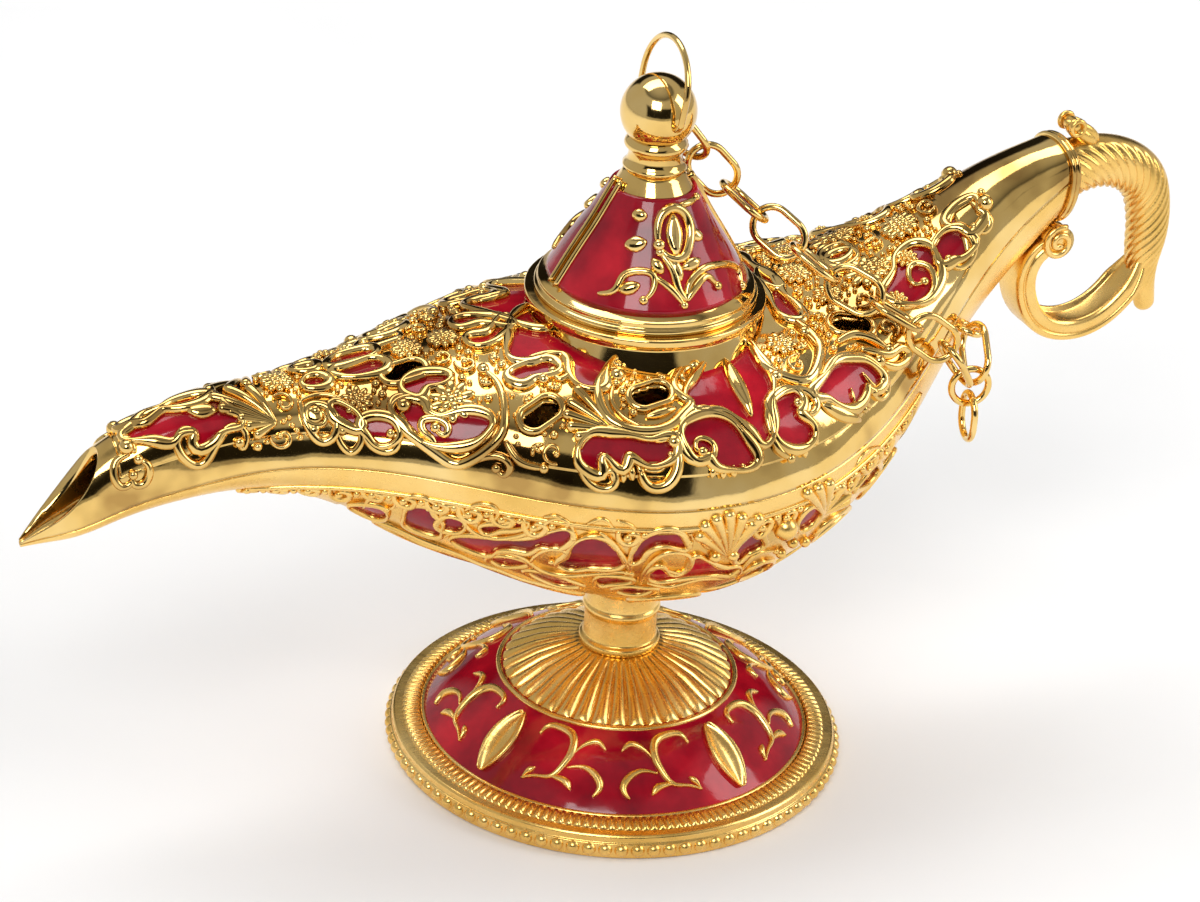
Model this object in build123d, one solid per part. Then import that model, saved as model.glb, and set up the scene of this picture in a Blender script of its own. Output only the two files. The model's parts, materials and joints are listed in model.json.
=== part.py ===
from build123d import *
import math
import os

# Oil lamp with a lift-off lid, a pedestal foot and a safety chain. Millimetres, +Z up.
# The origin is the centre of the foot's underside. The spout points to -X, the handle to +X.

# Body: everything is measured from the widest section, where the seam rim is lowest
spout_reach = 100.0
tail_reach = 71.0
body_half_width = 33.0
rim_height = 60.0
rim_rise = 33.0
bowl_depth = 30.0
shell_rise = 19.0
keel_height = rim_height - bowl_depth
body_wall = 2.0
seam_gap = 0.2
shell_fullness_share = 0.8
bowl_fullness_share = 0.25
section_points = 9

# Each row: place along the body, half width, rim rise, bowl depth, shell rise
body_shares = [
    (-1.00, 0.02, -0.20, 0.02, 0.03),
    (-0.97, 0.075, -0.155, 0.05, 0.20),
    (-0.93, 0.13, -0.11, 0.08, 0.37),
    (-0.86, 0.16, -0.03, 0.10, 0.505),
    (-0.76, 0.19, 0.05, 0.12, 0.58),
    (-0.64, 0.24, 0.11, 0.19, 0.54),
    (-0.52, 0.35, 0.12, 0.35, 0.57),
    (-0.40, 0.53, 0.09, 0.57, 0.71),
    (-0.27, 0.76, 0.045, 0.75, 0.885),
    (-0.13, 0.94, 0.01, 0.91, 0.975),
    (0.03, 1.00, 0.00, 1.00, 1.00),
    (0.225, 0.94, 0.03, 0.957, 0.965),
    (0.41, 0.77, 0.115, 0.88, 0.90),
    (0.58, 0.53, 0.27, 0.70, 0.84),
    (0.72, 0.35, 0.52, 0.50, 0.67),
    (0.86, 0.24, 0.79, 0.40, 0.47),
    (1.00, 0.19, 1.00, 0.28, 0.26),
]
cavity_rows_share = (1, 15)
thin_wall_share = 0.55

# Spout nib: the oblique cut that bares the oil channel, (along, height) shares
nib_cut_height = 18.0
nib_shares = [
    (-1.00, 0.02),
    (-0.955, 0.22),
    (-0.905, 0.54),
    (-0.872, 0.90),
    (-0.86, 1.6),
    (-1.03, 1.6),
    (-1.03, 0.0),
]
nib_curve_points = 4

# Pierced openings in the shell, mirrored to both sides: (along, across, turn in degrees)
pierce_length = 6.0
pierce_width = 3.4
pierce_tilt = 38.0
pierce_tilt_share = 0.5
pierce_height_share = 0.8
pierce_shares = [
    (-0.257, -0.60, 20),
    (-0.087, -0.66, 8),
    (0.40, -0.46, -25),
    (-0.42, -0.16, 0),
]

# Enamel fields
enamel_depth = 0.6
enamel_fit = 0.05
shell_belt = 5.4
bowl_belt = 4.2
shell_enamel_rows_share = (3, 14)
bowl_enamel_rows_share = (6, 13)
belt_limit_share = 0.75
cut_margin = 6.0

# Neck and lid
neck_radius = 19.0
neck_waist_radius = 18.0
neck_flange_radius = 18.8
neck_bore_radius = 15.2
neck_sink = 6.0
neck_rise = 1.2
neck_flange_rise = 1.2
neck_foot_height = rim_height + shell_rise - neck_sink
neck_flange_height = rim_height + shell_rise + neck_rise
neck_top_height = neck_flange_height + neck_flange_rise
lid_rim_radius = 17.4
lid_rim_thickness = 2.0
lid_rim_bead = 0.5
lid_wall = 1.5
lid_spigot_radius = 14.8
lid_spigot_wall = 1.4
lid_spigot_depth = 4.5
lid_height = 20.4
lid_top_height = neck_top_height + lid_height
lid_top_radius = 5.1
lid_shoulder_radius = 16.3
lid_ribs = 2
lid_rib_width = 1.6
# Cone profile between rim and top: (radius share, height share)
lid_cone_shares = [(1.0, 0.0), (0.652, 0.35), (0.393, 0.595), (0.17, 0.83), (0.0, 1.0)]

# Finial: ball, collar, neck and the stud that is riveted into the lid
ball_radius = 5.9
ball_rise = 9.2
ball_height = lid_top_height + ball_rise
finial_neck_radius = 4.2
finial_neck_height = 4.2
finial_collar_radius = 4.9
finial_collar_thickness = 1.0
stud_radius = 2.0
stud_length = 4.0
stud_fit = 0.05
hole_radius = 1.9
hole_drop = 0.6

# Bail through the finial
bail_wire = 1.0
bail_half_width = 7.6
bail_corner = 1.8
bail_height = 12.3
bail_tilt = 8.0

# Safety chain
link_wire = 1.15
link_width = 7.2
link_play = 0.35
end_link_play = 1.1
link_roll = 45.0
first_link_roll = -125.0
second_link_roll = -88.0
end_link_roll = -75.0
hook_turn = 30.0
wire_sides = 6
arc_steps = 8
chain_links = 12
chain_face_share = (0, -0.6, 0.8)
# Places where neighbouring links meet: shares of tail reach, half width and the ball's height over the rim
link_meet_shares = [
    (0.076, 0.205, 0.9118),
    (0.140, 0.163, 0.7953),
    (0.208, 0.114, 0.6894),
    (0.252, -0.067, 0.6294),
    (0.309, -0.218, 0.5576),
    (0.372, -0.359, 0.4859),
    (0.446, -0.494, 0.4306),
    (0.528, -0.590, 0.3635),
    (0.610, -0.622, 0.2765),
    (0.666, -0.567, 0.1541),
    (0.702, -0.583, 0.1612),
    (0.725, -0.411, 0.2494),
]
ring_link = 11
eyelet_radius = 2.0

# Handle
handle_reach = 24.0
handle_drop = 32.0
handle_height = rim_height + rim_rise
handle_collar = 1.6
handle_collar_lip = 0.5
handle_thickness = 4.9
rope_lobes = 4
rope_turns = 2.2
rope_sides = 16
rope_groove_share = 0.14
rope_flat_share = 0.84
# Rope arm: (reach, drop, thickness) shares along its centre line
rope_shares = [
    (0.067, -0.03, 1.00),
    (0.23, 0.00, 0.96),
    (0.42, 0.00, 0.90),
    (0.585, -0.04, 0.87),
    (0.73, -0.13, 0.84),
    (0.81, -0.265, 0.80),
    (0.84, -0.42, 0.76),
    (0.835, -0.56, 0.70),
    (0.86, -0.70, 0.52),
    (0.91, -0.80, 0.30),
    (0.958, -0.87, 0.08),
]
strap_width = 7.0
strap_thickness = 3.6
strap_groove = 0.8
strap_flange = 1.1
# Scroll strap: (reach, drop) shares along its centre line
strap_shares = [
    (0.045, -0.375),
    (-0.09, -0.435),
    (-0.155, -0.54),
    (-0.14, -0.67),
    (-0.055, -0.79),
    (0.09, -0.87),
    (0.27, -0.895),
    (0.46, -0.86),
    (0.62, -0.77),
    (0.74, -0.65),
    (0.81, -0.53),
]
volute_radius = 2.3
tenon_radius = 3.0
tenon_length = 7.0
tenon_fit = 0.05
tenon_slope = 38.0
tenon_drop_share = 0.05
thumb_reach_share = 0.16
thumb_seat_share = 0.6
thumb_height = 6.0
thumb_ball_radius = 1.7
thumb_neck_radius = 1.2
thumb_spread = 2.2

# Foot, stem and tie screw
foot_radius = 37.5
foot_edge = 3.0
foot_step = 0.5
foot_rim_height = 3.9
foot_enamel_radius = 31.6
dome_radius = 18.7
dome_height = 13.1
dome_crown_radius = 7.0
dome_crown_height = 18.2
dome_middle_radius = 13.0
dome_middle_height = 16.6
foot_wall = 1.6
foot_bulge = 0.9
gadroons = 38
gadroon_depth = 0.5
stem_radius = 5.9
stem_bead_radius = 6.6
stem_bead_height = 1.6
stem_joint_radius = 6.3
stem_joint_width = 0.7
stem_seam = 0.4
stem_joint_share = 0.605
stem_top_height = keel_height - stem_seam
stem_joint_height = dome_crown_height + stem_joint_share * (stem_top_height - dome_crown_height)
screw_radius = 2.0
screw_fit = 0.15
screw_head_radius = 3.8
screw_head_height = 2.6
screw_socket_radius = 1.7
screw_socket_depth = 1.5
washer_radius = 5.4
washer_thickness = 1.0
boss_radius = 5.2
boss_height = 8.0
thread_fit = 0.05
overrun = 1.0


def spot(along):
    """Length along the body for a share: the spout side and the tail side have their own reach."""
    reach = spout_reach if along < 0 else tail_reach
    return along * reach


def row_sizes(row):
    along, width, rim, depth, rise = row
    return (
        spot(along),
        width * body_half_width,
        rim_height + rim * rim_rise,
        depth * bowl_depth,
        rise * shell_rise,
    )


def arc_points(half_width, height, power, start=0.0):
    """Points of a bulging half oval from one side to the other."""
    steps = section_points - 1
    points = []
    for step in range(section_points):
        turn = start + (math.pi - 2 * start) * step / steps
        points.append((half_width * math.cos(turn), height * math.sin(turn) ** power))
    return points


def section_plane(x, z):
    return Plane(origin=(x, 0, z), x_dir=(0, 1, 0), z_dir=(1, 0, 0))


def bowl_power(half_width):
    return 1 + bowl_fullness_share * half_width / body_half_width


def half_face(x, z, half_width, height, power):
    """Flat-based half section; a negative height hangs below the rim."""
    points = arc_points(half_width, height, power)
    lean = 1 if height > 0 else -1
    bow = Spline(*points, tangents=[(0, lean), (0, -lean)])
    base = Line(points[-1], points[0])
    return section_plane(x, z) * make_face([bow, base])


def lens_face(x, z, half_width, rise, depth):
    """Closed section of the oil space, above and below the rim."""
    top = arc_points(half_width, rise, shell_fullness_share)
    bottom = arc_points(half_width, -depth, bowl_power(half_width))
    upper = Spline(*top, tangents=[(0, 1), (0, -1)])
    lower = Spline(*bottom, tangents=[(0, -1), (0, 1)])
    return section_plane(x, z) * make_face([upper, lower])


def band_face(x, z, half_width, height, power, start, inner):
    """Thin crescent that follows the skin down to a depth."""
    lean = 1 if height > 0 else -1
    out = arc_points(half_width, height, power, start)
    back = arc_points(half_width - inner, height - lean * inner, power, start)
    outside = Spline(*out)
    inside = Spline(*back)
    first = Line(out[0], back[0])
    last = Line(out[-1], back[-1])
    return section_plane(x, z) * make_face([outside, last, inside, first])


def outside_face(x, z, half_width, height, power, start, inner):
    """Everything outside the skin at a depth, from belt to belt, to cut a recess with."""
    lean = 1 if height > 0 else -1
    back = arc_points(half_width - inner, height - lean * inner, power, start)
    reach = half_width + cut_margin
    last = back[-1]
    first = back[0]
    far = height + lean * cut_margin
    around = Polyline(last, (-reach, last[1]), (-reach, far), (reach, far), (reach, first[1]), first)
    return section_plane(x, z) * make_face([Spline(*back), around])


def body_half(upper):
    """Solid upper or lower half of the body, before it is hollowed."""
    faces = []
    for row in body_shares:
        x, width, z, depth, rise = row_sizes(row)
        if upper:
            faces.append(half_face(x, z, width, rise, shell_fullness_share))
        else:
            faces.append(half_face(x, z - seam_gap, width, -depth, bowl_power(width)))
    return loft(faces)


def body_cavity():
    """Oil space: the body drawn in by one wall, or by a share of the thin spout."""
    first, last = cavity_rows_share
    faces = []
    for row in body_shares[first:last + 1]:
        x, width, z, depth, rise = row_sizes(row)
        inner_width = max(width - body_wall, width * thin_wall_share)
        inner_rise = max(rise - body_wall, rise * thin_wall_share)
        inner_depth = max(depth - body_wall, depth * thin_wall_share)
        faces.append(lens_face(x, z, inner_width, inner_rise, inner_depth))
    return loft(faces)


def band_rows(rows, upper, belt):
    """Place, size and start angle of each section of an enamel field."""
    first, last = rows
    sections = []
    for row in body_shares[first:last + 1]:
        x, width, z, depth, rise = row_sizes(row)
        height = rise if upper else depth
        power = shell_fullness_share if upper else bowl_power(width)
        start = math.asin(min(belt / height, belt_limit_share) ** (1 / power))
        sections.append((x, z, width, height if upper else -height, power, start))
    return sections


def enamel_band(rows, upper, belt):
    """Enamel field: the skin between the belt on one side and the belt on the other."""
    faces = [band_face(*section, enamel_depth) for section in band_rows(rows, upper, belt)]
    return loft(faces)


def enamel_recess(rows, upper, belt):
    """Cutter for the seat of an enamel field."""
    depth = enamel_depth + enamel_fit
    faces = [outside_face(*section, depth) for section in band_rows(rows, upper, belt - enamel_fit)]
    return loft(faces)


def upright(radius, bottom, top, x=0.0, y=0.0):
    """Upright cylinder between two heights."""
    return Pos(x, y, (bottom + top) / 2) * Cylinder(radius, top - bottom)


def turned(points):
    """Solid turned about the Z axis from (radius, height) corners."""
    outline = make_face(Polyline(*points, close=True))
    return revolve(Plane.XZ * outline, Axis.Z)


def nib_cutter():
    """Block in front of the oblique cut at the spout's tip."""
    tip = rim_height + body_shares[0][2] * rim_rise
    points = [(along * spout_reach, tip + up * nib_cut_height) for along, up in nib_shares]
    curve = Spline(*points[:nib_curve_points])
    rest = Polyline(*points[nib_curve_points - 1:], points[0])
    face = Plane.XZ * make_face([curve, rest])
    return extrude(face, body_half_width, both=True)


def pierce_cutters():
    """Slots through the shell, square to its skin, on both sides."""
    cutters = []
    for along, across, turn in pierce_shares:
        for side in (-1, 1):
            x = spot(along)
            y = side * across * body_half_width
            lean = -pierce_tilt * math.copysign(1, y) * min(1, abs(across) / pierce_tilt_share)
            slot = extrude(SlotOverall(pierce_length, pierce_width), shell_rise / 2, both=True)
            height = rim_height + shell_rise * pierce_height_share
            place = Pos(x, y, height) * Rot(X=lean) * Rot(Z=side * turn)
            cutters.append(place * slot)
    return cutters


def neck_ring():
    """Waisted collar round the filling hole, with the flange that the lid sits on."""
    waist = (neck_foot_height + neck_flange_height) / 2 + lid_rim_bead
    outline = [
        (neck_bore_radius, neck_foot_height),
        (neck_radius, neck_foot_height),
        (neck_radius - lid_rim_bead, waist - lid_rim_bead),
        (neck_waist_radius, waist + lid_rim_bead),
        (neck_flange_radius, neck_flange_height),
        (neck_flange_radius, neck_top_height),
        (neck_bore_radius, neck_top_height),
    ]
    return turned(outline)


def tenon_place():
    """Frame at the tail's end whose Z axis runs down into the tail."""
    lean = 270 - tenon_slope
    return Pos(tail_reach, 0, handle_height - handle_drop * tenon_drop_share) * Rot(Y=lean)


def tenon_bore():
    hole = Cylinder(tenon_radius + tenon_fit, 2 * (tenon_length + tenon_fit))
    return tenon_place() * hole


def make_upper_shell(cavity):
    shell = body_half(True) - cavity - nib_cutter() - tenon_bore()
    shell -= upright(neck_bore_radius, rim_height, neck_top_height)
    ring = neck_ring()
    recess = enamel_recess(shell_enamel_rows_share, True, shell_belt)
    recess -= upright(neck_radius, rim_height, neck_top_height)
    shell -= recess
    shell += ring
    for cutter in pierce_cutters():
        shell -= cutter
    return shell


def make_shell_enamel():
    field = enamel_band(shell_enamel_rows_share, True, shell_belt)
    field -= upright(neck_radius + enamel_fit, rim_height, neck_top_height)
    for cutter in pierce_cutters():
        field -= cutter
    return field


def make_bowl(cavity):
    bowl = body_half(False) - cavity - nib_cutter() - tenon_bore()
    bowl -= enamel_recess(bowl_enamel_rows_share, False, bowl_belt)
    boss_top = keel_height + boss_height
    bowl += upright(boss_radius, keel_height + body_wall / 2, boss_top)
    bowl -= upright(stem_joint_radius + overrun, keel_height - overrun, stem_top_height + seam_gap)
    bowl += upright(stem_joint_radius, stem_top_height, keel_height + body_wall)
    bowl -= upright(screw_radius + thread_fit, keel_height - overrun, boss_top + overrun)
    return bowl


def make_bowl_enamel():
    field = enamel_band(bowl_enamel_rows_share, False, bowl_belt)
    return field - upright(stem_joint_radius + overrun, keel_height - overrun, keel_height + boss_height)


def lid_profile(radius_in, height_in):
    """Cone line from the shoulder to the top, moved inwards by a wall."""
    bottom = neck_top_height + lid_rim_thickness
    points = []
    for out, up in lid_cone_shares:
        radius = lid_top_radius + out * (lid_shoulder_radius - lid_top_radius)
        height = bottom + up * (lid_top_height - bottom)
        points.append((radius - radius_in, height - height_in))
    return points


def lid_body():
    """Cone with its rolled rim, solid."""
    bottom = neck_top_height
    cone = lid_profile(0, 0)
    line = Spline(*cone)
    rim = Polyline(
        cone[0],
        (lid_rim_radius - lid_rim_bead, cone[0][1]),
        (lid_rim_radius, cone[0][1] - lid_rim_bead),
        (lid_rim_radius, bottom),
        (0, bottom),
        (0, lid_top_height),
        cone[-1],
    )
    return revolve(Plane.XZ * make_face([line, rim]), Axis.Z)


def cone_layer(outer, inner):
    """Turned layer of the cone between two depths under its skin."""
    out = lid_profile(-outer, 0)
    back = lid_profile(inner, 0)
    bottom = Line(out[0], back[0])
    top = Line(out[-1], back[-1])
    return revolve(Plane.XZ * make_face([Spline(*out), top, Spline(*back), bottom]), Axis.Z)


def lid_band_limits():
    """Heights between which the cone is enamelled."""
    bottom = neck_top_height + lid_rim_thickness + lid_rim_bead
    top = lid_top_height - lid_rim_thickness
    return bottom, top


def rib_blocks(width):
    """Radial walls that stand between the enamel panels."""
    reach = lid_rim_radius + overrun
    wall = Pos(reach / 2, 0, (neck_top_height + lid_top_height) / 2)
    block = wall * Box(reach, width, lid_top_height - neck_top_height + overrun)
    return [Rot(Z=360 / lid_ribs * index) * block for index in range(lid_ribs)]


def make_lid():
    lid = lid_body()
    hollow = lid_profile(lid_wall, lid_wall)
    inside = Polyline(
        hollow[-2],
        (0, hollow[-2][1]),
        (0, neck_top_height - overrun),
        (lid_spigot_radius - lid_spigot_wall, neck_top_height - overrun),
        (lid_spigot_radius - lid_spigot_wall, hollow[0][1]),
    )
    roof = Spline(*hollow[:-1])
    step = Line(hollow[0], inside @ 1)
    lid -= revolve(Plane.XZ * make_face([roof, step, inside]), Axis.Z)
    spigot_end = neck_top_height - lid_spigot_depth
    spigot = upright(lid_spigot_radius, spigot_end, neck_top_height + lid_wall)
    spigot -= upright(lid_spigot_radius - lid_spigot_wall, spigot_end - overrun, lid_top_height)
    lid += spigot
    bottom, top = lid_band_limits()
    recess = cone_layer(overrun, enamel_depth + enamel_fit)
    recess &= upright(lid_rim_radius, bottom - enamel_fit, top + enamel_fit)
    for rib in rib_blocks(lid_rib_width):
        recess -= rib
    lid -= recess
    lid -= upright(stud_radius + stud_fit, lid_top_height - stud_length - lid_wall, lid_top_height + overrun)
    return lid


def make_lid_enamel():
    bottom, top = lid_band_limits()
    panels = cone_layer(0, enamel_depth) & upright(lid_rim_radius, bottom, top)
    for rib in rib_blocks(lid_rib_width + 2 * enamel_fit):
        panels -= rib
    return panels


def make_finial():
    """Ball on a collared neck, drilled across for the bail, with its rivet stud."""
    base = lid_top_height
    neck_top = base + finial_neck_height
    outline = [
        (0, base - stud_length),
        (stud_radius, base - stud_length),
        (stud_radius, base),
        (finial_collar_radius, base),
        (finial_collar_radius, base + finial_collar_thickness),
        (finial_neck_radius, base + 2 * finial_collar_thickness),
        (finial_neck_radius, neck_top - finial_collar_thickness),
        (finial_collar_radius, neck_top),
        (finial_neck_radius, neck_top + finial_collar_thickness),
        (0, neck_top + finial_collar_thickness),
    ]
    finial = turned(outline) + Pos(0, 0, ball_height) * Sphere(ball_radius)
    bore = Rot(X=90) * Cylinder(hole_radius, 3 * ball_radius)
    return finial - Pos(0, 0, ball_height - hole_drop) * bore


def wire_loop(stations, radius):
    """Closed ring of wire through (point, direction, side) stations, ruled in two halves."""
    sections = []
    for point, direction, side in stations:
        plane = Plane(origin=point, x_dir=side, z_dir=direction)
        sections.append(plane * RegularPolygon(radius, wire_sides))
    half = len(sections) // 2
    one = loft(sections[:half + 1], ruled=True)
    two = loft(sections[half:] + sections[:1], ruled=True)
    return one + two


def turn_stations(centre, forward, side, normal, radius, start, sweep, steps):
    """Stations of an arc in the plane of forward and side."""
    stations = []
    for step in range(steps + 1):
        turn = math.radians(start + sweep * step / steps)
        outward = forward * math.cos(turn) + side * math.sin(turn)
        along = side * math.cos(turn) - forward * math.sin(turn)
        if sweep < 0:
            along = -along
        stations.append((centre + outward * radius, along, normal))
    return stations


def hook_point():
    """Where the chain holds the bail: on the bend of its far corner."""
    lean = math.radians(bail_tilt)
    turn = math.radians(hook_turn)
    y = bail_half_width - bail_corner + bail_corner * math.sin(turn)
    rise = bail_corner * (1 - math.cos(turn))
    z = ball_height - hole_drop
    return Vector(rise * math.sin(lean), y, z + rise * math.cos(lean))


def meeting_points():
    """Where the bail, the links and the eyelet meet, from the bail to the tail."""
    points = []
    for along, across, up in link_meet_shares:
        z = rim_height + up * (ball_height - rim_height)
        points.append(Vector(along * tail_reach, across * body_half_width, z))
    hook = hook_point()
    pull = (points[0] - hook).normalized()
    start = hook - pull * (link_wire + link_play) / 2
    return [start] + points


def link_axes(points, index):
    """Length, width and normal directions of a link between two meeting points."""
    forward = (points[index] - points[index - 1]).normalized()
    face = Vector(*chain_face_share)
    up = (face - forward * face.dot(forward)).normalized()
    across = forward.cross(up)
    special_rolls = {1: first_link_roll, 2: second_link_roll, chain_links: end_link_roll}
    usual_roll = link_roll if index % 2 else -link_roll
    roll = math.radians(special_rolls.get(index, usual_roll))
    normal = up * math.cos(roll) + across * math.sin(roll)
    return forward, normal.cross(forward), normal


def oval_link(points, index):
    """Link with straight sides between two meeting points."""
    forward, side, normal = link_axes(points, index)
    centre = (points[index] + points[index - 1]) / 2
    play = end_link_play if index in (1, chain_links) else link_play
    length = (points[index] - points[index - 1]).length + link_wire + play
    radius = (link_width - link_wire) / 2
    offset = forward * (length / 2 - radius)
    stations = turn_stations(centre + offset, forward, side, normal, radius, -90, 180, arc_steps)
    stations += turn_stations(centre - offset, forward, side, normal, radius, 90, 180, arc_steps)
    return wire_loop(stations, link_wire / 2)


def ring_frame(points):
    """Centre and directions of the round link that gathers the chain's end."""
    radius = (link_width - link_wire) / 2
    inner = radius - (link_wire + link_play) / 2
    span = points[ring_link] - points[ring_link - 1]
    across = span.normalized()
    down = Vector(0, 0, -1)
    down = (down - across * down.dot(across)).normalized()
    middle = (points[ring_link] + points[ring_link - 1]) / 2
    centre = middle + down * math.sqrt(inner ** 2 - (span.length / 2) ** 2)
    return centre, across, down, radius, inner


def round_link(points):
    centre, across, down, radius, inner = ring_frame(points)
    normal = across.cross(down)
    steps = 2 * arc_steps
    stations = turn_stations(centre, across, down, normal, radius, 0, 360, steps)[:-1]
    return wire_loop(stations, link_wire / 2)


def spare_link(points):
    """Last link, hanging free from the round one."""
    centre, across, down, radius, inner = ring_frame(points)
    top = centre + down * inner
    fall = Vector(0, 0, -1)
    side = across.cross(fall).normalized()
    normal = fall.cross(side)
    drop = link_width - link_wire
    middle = top + fall * drop / 2
    length = drop + link_wire + link_play
    bend = (link_width - link_wire) / 2
    offset = fall * (length / 2 - bend)
    stations = turn_stations(middle + offset, fall, side, normal, bend, -90, 180, arc_steps)
    stations += turn_stations(middle - offset, fall, side, normal, bend, 90, 180, arc_steps)
    return wire_loop(stations, link_wire / 2)


def make_eyelet(points):
    """Small loop soldered to the side of the tail for the last link of the chain."""
    forward, side, normal = link_axes(points, chain_links)
    out = Vector(0, -1, 0)
    along = (normal - out * normal.dot(out)).normalized()
    centre = points[chain_links] - out * (eyelet_radius - (link_wire + link_play) / 2)
    up = out.cross(along)
    steps = 2 * arc_steps
    stations = turn_stations(centre, out, along, up, eyelet_radius, 0, 360, steps)[:-1]
    return wire_loop(stations, link_wire / 2)


def make_bail():
    """Wire bail: a straight bar through the ball, two corners, two sides and a round top."""
    y = Vector(0, 1, 0)
    z = Vector(0, 0, 1)
    x = Vector(1, 0, 0)
    flat = bail_half_width - bail_corner
    crown = bail_height - bail_half_width
    stations = []
    stations += turn_stations(y * flat + z * bail_corner, y, z, x, bail_corner, -90, 90, arc_steps // 2)
    stations += turn_stations(z * crown, y, z, x, bail_half_width, 0, 180, 2 * arc_steps)
    stations += turn_stations(-y * flat + z * bail_corner, y, z, x, bail_corner, 180, 90, arc_steps // 2)
    loop = wire_loop(stations, bail_wire / 2)
    return Pos(0, 0, ball_height - hole_drop) * Rot(Y=bail_tilt) * loop


def handle_point(reach, drop):
    return Vector(tail_reach + reach * handle_reach, 0, handle_height + drop * handle_drop)


def path_directions(points):
    directions = []
    for index in range(len(points)):
        before = points[max(index - 1, 0)]
        after = points[min(index + 1, len(points) - 1)]
        directions.append((after - before).normalized())
    return directions


def rope_arm():
    """Tapered arm with twisted lobes, ruled through turned sections."""
    centres = [handle_point(reach, drop) for reach, drop, share in rope_shares]
    directions = path_directions(centres)
    sections = []
    for index, centre in enumerate(centres):
        thick = rope_shares[index][2] * handle_thickness
        twist = 360 * rope_turns * index / (len(centres) - 1)
        corners = []
        for corner in range(rope_sides):
            turn = 360 * corner / rope_sides
            lobe = 1 - math.cos(math.radians(rope_lobes * (turn - twist / rope_lobes)))
            radius = thick * (1 - rope_groove_share * lobe / 2)
            x = radius * math.cos(math.radians(turn))
            y = radius * math.sin(math.radians(turn))
            corners.append((x, y * rope_flat_share))
        side = Vector(0, 1, 0).cross(directions[index])
        plane = Plane(origin=centre, x_dir=side, z_dir=directions[index])
        sections.append(plane * make_face(Polyline(*corners, close=True)))
    return loft(sections, ruled=True)


def scroll_strap():
    """Flanged strap that curls from the volute round the bottom of the handle."""
    centres = [handle_point(reach, drop) for reach, drop in strap_shares]
    directions = path_directions(centres)
    half = strap_width / 2
    thick = strap_thickness / 2
    web = half - strap_flange
    outline = [
        (thick, -half), (thick, half), (-thick, half), (-thick, web),
        (strap_groove - thick, web), (strap_groove - thick, -web), (-thick, -web), (-thick, -half),
    ]
    sections = []
    for index, centre in enumerate(centres):
        side = Vector(0, 1, 0).cross(directions[index])
        plane = Plane(origin=centre, x_dir=-side, z_dir=directions[index])
        sections.append(plane * make_face(Polyline(*outline, close=True)))
    return loft(sections, ruled=True)


def handle_collar_solid():
    """Lipped plate that closes the tail's end."""
    x, width, z, depth, rise = row_sizes(body_shares[-1])
    grow = handle_collar_lip
    top = half_face(x, z, width + grow, rise + grow, shell_fullness_share)
    bottom = half_face(x, z, width + grow, -depth - grow, bowl_power(width))
    plate = extrude(top, handle_collar) + extrude(bottom, handle_collar)
    return plate


def thumb_scroll():
    """Little three-budded ornament on top of the handle's root."""
    foot = handle_point(thumb_reach_share, 0) + Vector(0, 0, handle_thickness * thumb_seat_share)
    stalk = Pos(foot + Vector(0, 0, thumb_height / 4)) * Cylinder(thumb_neck_radius, thumb_height / 2)
    top = foot + Vector(0, 0, thumb_height / 2)
    buds = [
        Pos(top + Vector(0, thumb_spread, 0)) * Sphere(thumb_ball_radius),
        Pos(top - Vector(0, thumb_spread, 0)) * Sphere(thumb_ball_radius),
        Pos(top + Vector(-thumb_ball_radius / 2, 0, thumb_ball_radius / 2)) * Sphere(thumb_ball_radius),
    ]
    ornament = stalk
    for bud in buds:
        ornament += bud
    return ornament


def make_handle():
    tenon = tenon_place() * Cylinder(tenon_radius, 2 * tenon_length)
    keep = Box(2 * tenon_length + handle_collar, 4 * tenon_radius, 4 * tenon_length)
    tenon &= Pos(tail_reach - tenon_length, 0, handle_height) * keep
    volute_place = handle_point(strap_shares[0][0], strap_shares[0][1])
    volute = Pos(volute_place) * Rot(X=90) * Cylinder(volute_radius, strap_width)
    return handle_collar_solid() + tenon + rope_arm() + scroll_strap() + volute + thumb_scroll()


def foot_line(drop):
    """Convex shoulder from the enamel's outer edge to the dome, moved down by a depth."""
    low = Vector(foot_enamel_radius, foot_rim_height - drop)
    high = Vector(dome_radius, dome_height - drop)
    middle = (low + high) / 2 + Vector(foot_bulge, foot_bulge)
    return ThreePointArc((low.X, low.Y), (middle.X, middle.Y), (high.X, high.Y))


def gadroon_wire(radius, height, depth):
    """Scalloped ring: one outward arc for each gadroon."""
    arcs = []
    for index in range(gadroons):
        turns = [math.radians(360 * (index + part) / gadroons) for part in (0, 0.5, 1)]
        reach = (radius, radius + depth, radius)
        corners = [(r * math.cos(t), r * math.sin(t)) for r, t in zip(reach, turns)]
        arcs.append(ThreePointArc(*corners))
    return Pos(0, 0, height) * make_face(arcs)


def fluted_dome():
    """Gadrooned crown of the foot, ruled from ring to ring."""
    fade = dome_crown_radius / dome_radius
    outer = gadroon_wire(dome_radius - gadroon_depth, dome_height, gadroon_depth)
    middle = gadroon_wire(dome_middle_radius - gadroon_depth, dome_middle_height, gadroon_depth)
    crown = gadroon_wire(dome_crown_radius - gadroon_depth * fade, dome_crown_height, gadroon_depth * fade)
    return loft([outer, middle, crown], ruled=True)


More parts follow.
